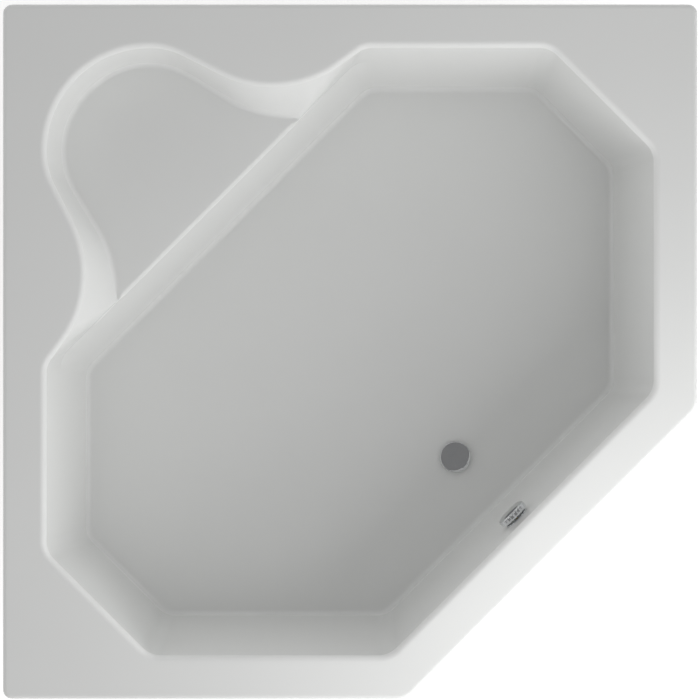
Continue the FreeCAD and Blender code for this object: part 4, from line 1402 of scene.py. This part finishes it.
@dataclass
class Feet(Assembly):
    """Levelling feet with threaded studs and nuts, and the screws that hold the base board."""

    frame: Frame
    stud_radius: float = 6.0
    stud_low: float = 5.0
    stud_high: float = 165.5
    pitch: float = 1.75
    thread_depth: float = 1.0
    stud_chamfer: float = 1.6
    pad_radius: float = 25.0
    pad_rim: float = 6.0
    pad_neck: float = 12.0
    pad_height: float = 17.0
    nut_width: float = 19.0
    nut_height: float = 10.0
    nut_bevel: float = 0.9
    frame_bottom: float = 163.0
    screw_radius: float = 2.1
    head_radius: float = 5.0
    head_height: float = 3.0
    screw_top: float = 200.0
    drive_radius: float = 2.3
    drive_depth: float = 1.7
    beam_screws: tuple[float, ...] = (248.373, 603.192)
    rail_screws: tuple[float, ...] = (120.12, 323.4)

    def build(self) -> None:
        """Makes a stud and a pad for each foot, then the nuts and the screws."""
        rod = threaded_rod(self.stud_radius, self.stud_high - self.stud_low, self.pitch,
                           self.thread_depth, self.stud_chamfer)
        pad = self._pad()
        nut = hexagon_nut(self.nut_width, self.nut_height, self.stud_radius + RUNNING_GAP,
                          self.nut_bevel)
        nuts = []
        for name, place in {**self.frame.posts(), "centre": (0.0, 0.0)}.items():
            stud = rod.shifted(*place, self.stud_low).turned()
            self.stand_in(f"foot_stud_{name}", "threaded", stud, "zinc_steel", f"foot_{name}")
            self.stand_in(f"foot_pad_{name}", "ribbed", pad.shifted(*place, 0.0).turned(),
                          "black_plastic", f"foot_{name}")
            nuts.append(nut.shifted(*place, self.frame_bottom - self.nut_height))
        self.stand_in("foot_nuts", "hexagon", joined(nuts).turned(), "zinc_steel")
        self._screws()

    def _pad(self) -> Patch:
        """Foot pad with a socket for the stud and ribs on its cone.

        Returns:
            The pad, standing on the origin.
        """
        socket = self.stud_radius + RUNNING_GAP
        corners = [(0.0, 0.0, 0.0), (self.pad_radius, 0.0, 1.2),
                   (self.pad_radius, self.pad_rim, 1.6), (self.pad_neck, self.pad_height, 1.6),
                   (socket, self.pad_height, 0.6), (socket, self.stud_low, 0.3),
                   (0.0, self.stud_low, 0.0)]
        ribs = Relief(count=12, depth=1.5, low=self.pad_neck + 0.8, high=self.pad_radius - 1.6,
                      soft=1.6)
        return revolved(corners, 120, ribs, line_step=1.5)

    def _screws(self) -> None:
        """Makes pan-head screws with a six-lobed drive, through the beams into the base board."""
        low, seat = self.frame_bottom - self.head_height, self.frame_bottom
        deep = low + self.drive_depth
        corners = [(0.0, deep, 0.0), (self.drive_radius, deep, 0.2), (self.drive_radius, low, 0.2),
                   (self.head_radius, low, 1.4), (self.head_radius, seat, 0.3),
                   (self.screw_radius, seat, 0.2), (self.screw_radius, self.screw_top, 0.6),
                   (0.0, self.screw_top, 0.0)]
        lobes = Relief(count=6, depth=0.6, low=self.drive_radius - 0.3,
                       high=self.drive_radius + 0.4, soft=0.2)
        screw = revolved(corners, 72, lobes)
        places = [(0.0, sign * across) for across in self.beam_screws for sign in SIGNS]
        places += [(along, sign * self.frame.front_side)
                   for along in self.rail_screws for sign in SIGNS]
        screws = [screw.shifted(*place, 0.0) for place in places]
        self.stand_in("base_screws", "pan_head", joined(screws).turned(), "zinc_steel")


@dataclass
class Drain(Assembly):
    """Drain in the floor: flange, seals, the lifting plug and the body below."""

    floor: float = 210.0
    gasket_upper: float = 1.5
    gasket_lower: float = 4.0
    hole: float = 26.0
    gasket_radius: float = 31.0
    flange_radius: float = 33.0
    flange_top: float = 214.0
    flange_bevel: float = 1.5
    seat_radius: float = 27.0
    throat: float = 21.0
    throat_drop: float = 5.0
    tail_radius: float = 24.0
    tail_end: float = 168.0
    spider_low: float = 176.0
    spider_high: float = 182.0
    spider_hub: float = 6.5
    spider_bar: float = 4.0
    stem_radius: float = 3.0
    stem_length: float = 62.0
    seal_inner: float = 20.0
    seal_radius: float = 30.0
    seal_height: float = 2.0
    cap_radius: float = 36.0
    cap_inner: float = 33.6
    cap_skirt: float = 3.8
    cap_side: float = 2.9
    cap_crown: float = 4.9
    cap_flatness: float = 6.5
    cap_rings: int = 14
    body_flange: float = 36.0
    body_flange_height: float = 6.0
    body_radius: float = 29.0
    body_bottom: float = 128.0
    body_floor: float = 4.0
    spigot_radius: float = 20.0
    spigot_bore: float = 17.0
    spigot_end: float = 98.0
    branch_root: float = 26.0
    inlet_radius: float = 19.0
    inlet_bore: float = 16.2
    inlet_end: float = 59.0
    boss_radius: float = 4.5
    boss_bore: float = 2.6
    boss_end: float = 34.0

    @staticmethod
    def placed(*patches: Patch) -> Patch:
        """Patches about the drain's axis as one patch in the wall axes."""
        return joined(list(patches)).shifted(DRAIN_REACH, 0.0, 0.0).turned()

    def build(self) -> None:
        """Makes the drain's fixed pieces and the plug that lifts."""
        under = self.floor - SHELL_WALL
        self._flange()
        upper = ring(self.hole, self.gasket_radius, self.floor, self.floor + self.gasket_upper, 0.5)
        lower = ring(self.hole, self.body_flange, under - self.gasket_lower, under, 1.2)
        for name, seal in (("upper", upper), ("lower", lower)):
            self.workshop.piece(f"drain_seal_{name}", self.placed(seal), "tub", "rubber",
                                (f"drain_gasket_{name}",))
        self._body()
        self._plug()

    def _flange(self) -> None:
        """Makes the flange, with a bevelled rim, a dished seat and a spider for the stem."""
        low, top = self.floor + self.gasket_upper, self.flange_top
        corners = [(self.throat, self.tail_end, 0.3), (self.tail_radius, self.tail_end, 0.3),
                   (self.tail_radius, low, 0.4), (self.flange_radius, low, 0.2),
                   (self.flange_radius, top - self.flange_bevel, 0.6),
                   (self.flange_radius - self.flange_bevel, top, 0.6),
                   (self.seat_radius, top, 0.8), (self.throat, top - self.throat_drop, 0.8)]
        cross = spider(self.spider_hub, self.stem_radius + RUNNING_GAP,
                       (self.throat + self.tail_radius) / 2, self.spider_bar, self.spider_low,
                       self.spider_high)
        flange = self.placed(revolved(corners, TURNED_STEPS), *cross)
        self.stand_in("drain_flange", "dished", flange, "chrome")

    def _plug(self) -> None:
        """Makes the cap with its rolled edge and thin skirt, its seal and its stem.

        The top falls by the rise times the radius share to a power, so it is flat in the middle.
        """
        seal_low = self.flange_top + RUNNING_GAP
        under = seal_low + self.seal_height
        side, top, skirt = under + self.cap_side, under + self.cap_crown, under - self.cap_skirt
        share = np.linspace(1.0, 0.0, self.cap_rings + 1)[1:]
        dome = top - (top - side) * share ** self.cap_flatness
        corners = [(0.0, under, 0.0), (self.cap_inner, under, 0.5), (self.cap_inner, skirt, 0.4),
                   (self.cap_radius, skirt, 0.6), (self.cap_radius, side, 1.6)]
        corners += list(zip(self.cap_radius * share, dome, np.zeros(self.cap_rings)))
        cap = revolved(corners, TURNED_STEPS)
        self.stand_in("plug_cap", "domed", self.placed(cap), "chrome", "plug")
        seal = ring(self.seal_inner, self.seal_radius, seal_low, under, 0.7)
        self.stand_in("plug_seal", "ring", self.placed(seal), "rubber", "plug")
        stem = pin(self.stem_radius, under - self.stem_length, under, 0.9)
        self.stand_in("plug_stem", "turned", self.placed(stem), "brass", "plug")

    def _body(self) -> None:
        """Makes the moulded body with its flange, spigot, pipe socket and cable boss."""
        top = self.floor - SHELL_WALL - self.gasket_lower
        flange_low = top - self.body_flange_height
        bore = self.tail_radius + RUNNING_GAP
        inner_floor = self.body_bottom + self.body_floor
        corners = [(bore, top, 0.4), (self.body_flange, top, 1.5),
                   (self.body_flange, flange_low, 1.5), (self.body_radius, flange_low, 2.5),
                   (self.body_radius, self.body_bottom, 3.0),
                   (self.spigot_radius, self.body_bottom, 2.5),
                   (self.spigot_radius, self.spigot_end, 0.6),
                   (self.spigot_bore, self.spigot_end, 0.6), (self.spigot_bore, inner_floor, 0.8),
                   (self.throat, inner_floor, 0.8), (self.throat, self.tail_end, 0.4),
                   (bore, self.tail_end, 0.4)]
        socket = pipe([(self.branch_root, 0.0, WASTE_LEVEL), (self.inlet_end, 0.0, WASTE_LEVEL)],
                      self.inlet_radius, self.inlet_bore, ASIDE)
        boss = pipe([(0.0, self.branch_root, WASTE_LEVEL), (0.0, self.boss_end, WASTE_LEVEL)],
                    self.boss_radius, self.boss_bore, AHEAD, BOSS_STEPS)
        body = self.placed(revolved(corners, TURNED_STEPS), socket, boss)
        self.stand_in("drain_body", "moulded", body, "white_plastic")


@dataclass
class Overflow(Assembly):
    """Overflow in the front wall: rosette, knob, elbow, pipe, union nuts and cable."""

    moulding: Moulding
    height: float = 550.0
    rosette_radius: float = 30.0
    rosette_height: float = 4.0
    throat: float = 19.0
    tail_radius: float = 22.0
    tail_length: float = 24.0
    hub: float = 7.5
    bar: float = 4.0
    spindle_radius: float = 4.0
    spindle_length: float = 46.0
    knob_radius: float = 35.5
    knob_back: float = 8.0
    knob_side: float = 11.0
    knob_bevel: float = 3.0
    knob_crown: float = 4.5
    grips: int = 26
    recess_inner: float = 10.0
    recess_outer: float = 31.0
    recess_depth: float = 6.0
    gasket_radius: float = 31.0
    gasket_height: float = 3.0
    elbow_flange: float = 33.0
    elbow_flange_height: float = 6.0
    elbow_radius: float = 25.0
    elbow_length: float = 30.0
    elbow_end: float = 3.0
    pipe_place: float = 29.5
    socket_root: float = 12.0
    socket_drop: float = 50.0
    socket_depth: float = 22.0
    socket_radius: float = 19.0
    socket_bore: float = 16.2
    pipe_radius: float = 16.0
    pipe_bore: float = 13.5
    pipe_bend: float = 50.0
    pipe_end: float = 388.0
    nut_radius: float = 22.0
    nut_grip: float = 12.0
    nut_neck: float = 10.0
    nut_ribs: int = 18
    lower_nut: float = 412.0
    boss_radius: float = 4.5
    boss_bore: float = 2.6
    boss_root: float = 20.0
    boss_end: float = 34.0
    cable_radius: float = 2.5
    cable_side: float = 59.0
    cable_bends: tuple[float, ...] = (25.0, 40.0, 25.0)

    def __post_init__(self) -> None:
        """Sets the axis on the leaning front wall, and the pipe and its socket behind it."""
        self.along = self.moulding.sides(self.moulding.rim_height - self.height)[1]
        self.lean = self.moulding.front_lean / self.moulding.well_depth
        self.pipe_along = self.along + self.pipe_place
        self.socket_end = self.height - self.socket_drop

    def placed(self, *patches: Patch) -> Patch:
        """Patches about Z as one patch, laid on the overflow's axis with Z into the well."""
        axis = axis_frame((-1.0, 0.0, self.lean))
        return joined(list(patches)).moved(axis, (self.along, 0.0, self.height)).turned()

    def build(self) -> None:
        """Makes the pieces in front of the wall, then those behind it."""
        self._front()
        self._knob()
        self._elbow()
        self._pipe()
        self._cable()

    def _front(self) -> None:
        """Makes the rosette with its spider and tail, and the seal behind the wall."""
        corners = [(self.throat, -self.tail_length, 0.3),
                   (self.tail_radius, -self.tail_length, 0.3), (self.tail_radius, 0.0, 0.2),
                   (self.rosette_radius, 0.0, 0.3),
                   (self.rosette_radius, self.rosette_height, 1.8),
                   (self.throat, self.rosette_height, 1.2)]
        cross = spider(self.hub, self.spindle_radius + RUNNING_GAP,
                       (self.throat + self.tail_radius) / 2, self.bar, 0.0, self.rosette_height)
        rosette = self.placed(revolved(corners, TURNED_STEPS), *cross)
        self.stand_in("overflow_rosette", "turned", rosette, "chrome")
        seal = ring(self.tail_radius + RUNNING_GAP, self.gasket_radius,
                    -SHELL_WALL - self.gasket_height, -SHELL_WALL, 0.9)
        self.workshop.piece("overflow_seal", self.placed(seal), "tub", "rubber",
                            ("overflow_gasket",))

    def _knob(self) -> None:
        """Makes the knob, with a rounded face, fine grips and a recess behind, and its spindle."""
        back, side = self.knob_back, self.knob_back + self.knob_side
        recess, rim = back + self.recess_depth, self.knob_radius
        corners = [(0.0, back, 0.0), (self.recess_inner, back, 0.8),
                   (self.recess_inner, recess, 0.6), (self.recess_outer, recess, 0.6),
                   (self.recess_outer, back, 0.6),
                   (rim, back, 1.2), (rim, side, 2.4),
                   (rim - self.knob_bevel, side + self.knob_bevel, 2.4),
                   (0.0, side + self.knob_crown, 0.0)]
        grips = Relief(self.grips, depth=1.0, low=rim - 0.5, high=rim + 1.0)
        knob = revolved(corners, self.grips * 12, grips)
        self.stand_in("overflow_knob", "turned", self.placed(knob), "chrome", "knob")
        spindle = pin(self.spindle_radius, back - self.spindle_length, back, 1.0)
        self.stand_in("overflow_spindle", "turned", self.placed(spindle), "brass", "knob")

    def _elbow(self) -> None:
        """Makes the closed cup behind the wall with its flange, pipe socket and cable boss."""
        front = -SHELL_WALL - self.gasket_height
        flange_end = front - self.elbow_flange_height
        end = flange_end - self.elbow_length
        bore, inner_end = self.tail_radius + RUNNING_GAP, end + self.elbow_end
        corners = [(0.0, inner_end, 0.0), (bore, inner_end, 1.5), (bore, front, 0.4),
                   (self.elbow_flange, front, 1.5), (self.elbow_flange, flange_end, 1.5),
                   (self.elbow_radius, flange_end, 2.5), (self.elbow_radius, end, 4.0),
                   (0.0, end, 0.0)]
        cup = self.placed(revolved(corners, TURNED_STEPS))
        place, height = self.pipe_along, self.height
        socket = pipe([(place, 0.0, height - self.socket_root), (place, 0.0, self.socket_end)],
                      self.socket_radius, self.socket_bore, ASIDE)
        boss = pipe([(place, self.boss_root, height), (place, self.boss_end, height)],
                    self.boss_radius, self.boss_bore, AHEAD, BOSS_STEPS)
        elbow = joined([cup, socket.turned(), boss.turned()])
        self.stand_in("overflow_elbow", "moulded", elbow, "white_plastic")

    def _pipe(self) -> None:
        """Makes the bent pipe down to the drain and its two ribbed nuts."""
        place, rim = self.pipe_along, self.nut_radius
        path = rounded_path([(place, 0.0, self.socket_end + self.socket_depth),
                             (place, 0.0, WASTE_LEVEL), (self.pipe_end, 0.0, WASTE_LEVEL)],
                            self.pipe_bend, steps=20)
        bent = pipe(path, self.pipe_radius, self.pipe_bore, ASIDE, segments=48)
        self.stand_in("overflow_pipe", "bent", bent.turned(), "white_plastic")
        grip, neck = self.socket_radius + RUNNING_GAP, self.pipe_radius + RUNNING_GAP
        corners = [(grip, -self.nut_grip, 0.4), (rim, -self.nut_grip, 1.0),
                   (rim, self.nut_neck, 2.0), (neck, self.nut_neck, 0.5), (neck, 0.0, 0.3),
                   (grip, 0.0, 0.3)]
        ribs = Relief(self.nut_ribs, depth=1.0, low=rim - 0.5, high=rim + 1.0)
        nut = revolved(corners, RIBBED_STEPS, ribs)
        upper = nut.moved(np.diag([1.0, -1.0, -1.0]), (place, 0.0, self.socket_end))
        lower = nut.moved(axis_frame(AHEAD), (self.lower_nut, 0.0, WASTE_LEVEL))
        self.stand_in("pipe_nut_upper", "ribbed", upper.turned(), "white_plastic")
        self.stand_in("pipe_nut_lower", "ribbed", lower.turned(), "white_plastic")

    def _cable(self) -> None:
        """Makes the cable beside the pipe, from the elbow's boss to the drain's."""
        place, side = self.pipe_along, self.cable_side
        run = rounded_path([(place, self.boss_end, self.height), (place, side, self.height),
                            (place, side, WASTE_LEVEL), (DRAIN_REACH, side, WASTE_LEVEL),
                            (DRAIN_REACH, self.boss_end, WASTE_LEVEL)], self.cable_bends)
        cable = pipe(run, self.cable_radius, 0.0, (1.0, 1.0, 1.0), segments=24)
        self.stand_in("bowden_cable", "jacket", cable.turned(), "cable_jacket")


@dataclass
class Trap(Assembly):
    """Trap below the drain with its two ribbed nuts and the outlet pipe to the left wall."""

    radius: float = 20.0
    bore: float = 17.0
    inlet: float = 98.0
    bend: float = 32.0
    dip: float = 36.0
    outlet: float = 20.0
    outlet_length: float = 134.0
    stop_radius: float = 23.0
    stop_low: float = 14.0
    stop_high: float = 18.0
    nut_radius: float = 27.0
    nut_length: float = 26.0
    nut_ribs: int = 12

    def build(self) -> None:
        """Makes the bent trap, the outlet with its collar, and the nuts, square to the walls."""
        drain = (*diagonal_plan(DRAIN_REACH, 0.0), 0.0)
        bottom, level = self.inlet - self.dip - self.bend, self.inlet - self.dip + self.bend
        far = -self.bend * 2
        end = far - self.bend - self.outlet
        path = rounded_path([(0.0, 0.0, self.inlet), (0.0, 0.0, bottom), (far, 0.0, bottom),
                             (far, 0.0, level), (end, 0.0, level)], self.bend, steps=18)
        corners = [(self.bore, 0.0, 0.2), (self.radius, 0.0, 0.4),
                   (self.radius, self.stop_low, 0.4), (self.stop_radius, self.stop_low, 0.8),
                   (self.stop_radius, self.stop_high, 0.8),
                   (self.radius, self.stop_high, 0.4), (self.radius, self.outlet_length, 1.0),
                   (self.bore, self.outlet_length, 0.4)]
        half, inner, rim = self.nut_length / 2, self.radius + RUNNING_GAP, self.nut_radius
        ribs = Relief(self.nut_ribs, depth=1.8, low=rim - 0.7, high=rim + 1.0, soft=0.6)
        nut = revolved([(inner, -half, 0.5), (rim, -half, 1.8), (rim, half, 1.8),
                        (inner, half, 0.5)], RIBBED_STEPS, ribs)
        outward, outlet_end = axis_frame((-1.0, 0.0, 0.0)), (end, 0.0, level)
        pieces = (
            ("trap_body", "bent", pipe(path, self.radius, self.bore, ASIDE, segments=56)),
            ("outlet_pipe", "turned", revolved(corners, 72).moved(outward, outlet_end)),
            ("trap_inlet_nut", "ribbed", nut.shifted(0.0, 0.0, self.inlet)),
            ("trap_outlet_nut", "ribbed", nut.moved(outward, outlet_end)),
        )
        for node, look, patch in pieces:
            self.stand_in(node, look, patch.shifted(*drain), "white_plastic")


@dataclass(frozen=True)
class Lamp:
    """Square lamp on the diagonal, turned to the middle of the rim."""

    name: str
    along: float
    height: float
    size: float
    power: float

    def place(self, scene: bpy.types.Scene, aim_height: float) -> None:
        """Adds the lamp to the scene.

        Args:
            scene: Where it goes.
            aim_height: Height of the point that it is turned to.
        """
        data = bpy.data.lights.new(self.name, "AREA")
        data.shape = "SQUARE"
        data.size = self.size
        data.energy = self.power
        lamp = bpy.data.objects.new(self.name, data)
        place = np.append(diagonal_plan(self.along, 0.0), self.height)
        x, y, z = (float(value) for value in unit(place - np.array([0.0, 0.0, aim_height])))
        lamp.location = place * MM
        lamp.rotation_euler = (0.0, math.acos(z), math.atan2(y, x))
        lamp.visible_camera = False
        lamp.visible_glossy = False
        scene.collection.objects.link(lamp)


@dataclass
class Studio:
    """Camera straight above the tub, a pale floor and soft light from the front edge's side."""

    camera_height: float = 4940.0
    rim_height: float = RIM_HEIGHT
    frame_width: float = 1509.0
    camera_shift: tuple[float, float] = (-0.2, 3.4)
    sensor: float = 36.0
    far_clip: float = 100.0
    lamps: tuple[Lamp, ...] = (Lamp("front_lamp", 1300.0, 1500.0, 1.0, 8.5),
                               Lamp("far_lamp", 2500.0, 1500.0, 1.6, 14.5))
    # Levels by the height of a direction: light on surfaces, what gloss mirrors, what is seen
    light: Stops = ((0.0, 1.12), (1.0, 0.18))
    reflection: Stops = ((0.0, 0.6), (0.16, 0.6), (0.22, 0.14), (0.36, 0.14), (0.42, 0.85),
                         (0.6, 0.85), (0.7, 0.21), (1.0, 0.215))
    backdrop: Stops = ((0.0, 1.0), (1.0, 1.0))
    floor_half: float = 15000.0
    floor_level: float = 0.8
    floor_roughness: float = 0.8
    floor_glow: float = 0.6

    def build(self) -> None:
        """Sets up the camera, the lamps, the world and the floor."""
        scene = bpy.context.scene
        scene.view_settings.view_transform = "Standard"
        self._camera(scene)
        for lamp in self.lamps:
            lamp.place(scene, self.rim_height)
        self._world(scene)
        self._floor(scene)

    def _camera(self, scene: bpy.types.Scene) -> None:
        """Long lens, square above the rim, with the frame as wide as the photograph's.

        Args:
            scene: Takes the camera.
        """
        data = bpy.data.cameras.new("camera")
        data.sensor_width = self.sensor
        data.lens = self.sensor * (self.camera_height - self.rim_height) / self.frame_width
        data.clip_end = self.far_clip
        camera = bpy.data.objects.new("camera", data)
        camera.location = np.array([*self.camera_shift, self.camera_height]) * MM
        scene.collection.objects.link(camera)
        scene.camera = camera

    def _world(self, scene: bpy.types.Scene) -> None:
        """Soft light that is pale at the horizon and greyer overhead, seen as white by the camera.

        Args:
            scene: Takes the new world; its reflections are calmer than its light.
        """
        world = bpy.data.worlds.new("studio")
        scene.world = world
        world.use_nodes = True
        tree = world.node_tree
        place = add_node(tree, "TexCoord").outputs["Generated"]
        height = add_node(tree, "SeparateXYZ", links={0: place}).outputs["Z"]
        rays = add_node(tree, "LightPath").outputs
        colour = self._levels(tree, height, self.light)
        for ray, stops in (("Is Glossy Ray", self.reflection), ("Is Camera Ray", self.backdrop)):
            mix = add_node(tree, "Mix", links={"Factor": rays[ray]}, data_type="RGBA")
            first, second = (socket for socket in mix.inputs if socket.type == "RGBA")
            tree.links.new(colour, first)
            tree.links.new(self._levels(tree, height, stops), second)
            colour = next(socket for socket in mix.outputs if socket.type == "RGBA")
        tree.links.new(colour, tree.nodes["Background"].inputs["Color"])

    @staticmethod
    def _levels(tree: bpy.types.NodeTree, height: bpy.types.NodeSocket,
                stops: Stops) -> bpy.types.NodeSocket:
        """Grey levels by the height of a direction.

        Args:
            tree: Node tree of the world.
            height: Height of the direction, from 0 at the horizon to 1 overhead.
            stops: Heights and levels, rising from height 0 to height 1.

        Returns:
            The colour.
        """
        ramp = add_node(tree, "ValToRGB", links={"Fac": height})
        steps = ramp.color_ramp.elements
        for position, _ in stops[1:-1]:
            steps.new(position)
        for step, (_, level) in zip(steps, stops):
            step.color = (level, level, level, 1.0)
        return ramp.outputs["Color"]

    def _floor(self, scene: bpy.types.Scene) -> None:
        """Pale floor that glows for rays from the camera, mirrors and glass; it keeps the shadow.

        Args:
            scene: Takes the floor.
        """
        span = np.linspace(-self.floor_half, self.floor_half, 3)
        across, along = np.meshgrid(span, span)
        patch = grid_patch(lifted(np.stack([across, along], axis=-1), 0.0), around=False)
        mesh = bpy.data.meshes.new("floor")
        mesh.from_pydata((patch.points * MM).tolist(), [], patch.faces.tolist())
        floor = bpy.data.objects.new("floor", mesh)
        scene.collection.objects.link(floor)
        material = bpy.data.materials.new("pale_floor")
        material.use_nodes = True
        tree = material.node_tree
        shader = tree.nodes["Principled BSDF"]
        shader.inputs["Base Color"].default_value = (*[self.floor_level] * 3, 1.0)
        shader.inputs["Roughness"].default_value = self.floor_roughness
        shader.inputs["Emission Color"].default_value = (1.0, 1.0, 1.0, 1.0)
        rays = add_node(tree, "LightPath").outputs
        seen = rays["Is Camera Ray"]
        for ray in ("Is Glossy Ray", "Is Transmission Ray"):
            seen = add_node(tree, "Math", links={0: seen, 1: rays[ray]},
                            operation="MAXIMUM").outputs[0]
        glow = add_node(tree, "Math", {1: self.floor_glow}, {0: seen}, operation="MULTIPLY")
        tree.links.new(glow.outputs[0], shader.inputs["Emission Strength"])
        self._one_sided(tree, shader)
        mesh.materials.append(material)

    @staticmethod
    def _one_sided(tree: bpy.types.NodeTree, shader: bpy.types.Node) -> None:
        """Lets a camera below the floor see through its underside.

        Args:
            tree: Node tree of the floor's material.
            shader: Shader of its upper side.
        """
        below = add_node(tree, "NewGeometry").outputs["Backfacing"]
        clear = add_node(tree, "BsdfTransparent").outputs[0]
        mix = add_node(tree, "MixShader", links={0: below, 1: shader.outputs[0], 2: clear})
        tree.links.new(mix.outputs[0], tree.nodes["Material Output"].inputs["Surface"])


def dress_nodes(frame: dict) -> None:
    """Gives every CAD node the finish of its slot in the record.

    Args:
        frame: The loaded solids and their record.
    """
    for part in frame["record"]["subparts"]:
        mesh = frame["nodes"][part["node"]].data
        mesh.materials.clear()
        mesh.materials.append(SLOT_FINISH[part["material_slot"]].material())


def main() -> None:
    """Loads the solids, dresses them and adds the modelled pieces and the studio."""
    logging.basicConfig(level=logging.INFO, format="%(name)s: %(message)s")
    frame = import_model()
    Studio().build()
    dress_nodes(frame)
    workshop = Workshop()
    moulding, support = Moulding(workshop), Frame(workshop)
    assemblies = (moulding, Boards(workshop, moulding), support, Feet(workshop, support),
                  Drain(workshop), Overflow(workshop, moulding), Trap(workshop))
    for assembly in assemblies:
        assembly.build()


if __name__ == "__main__":
    main()
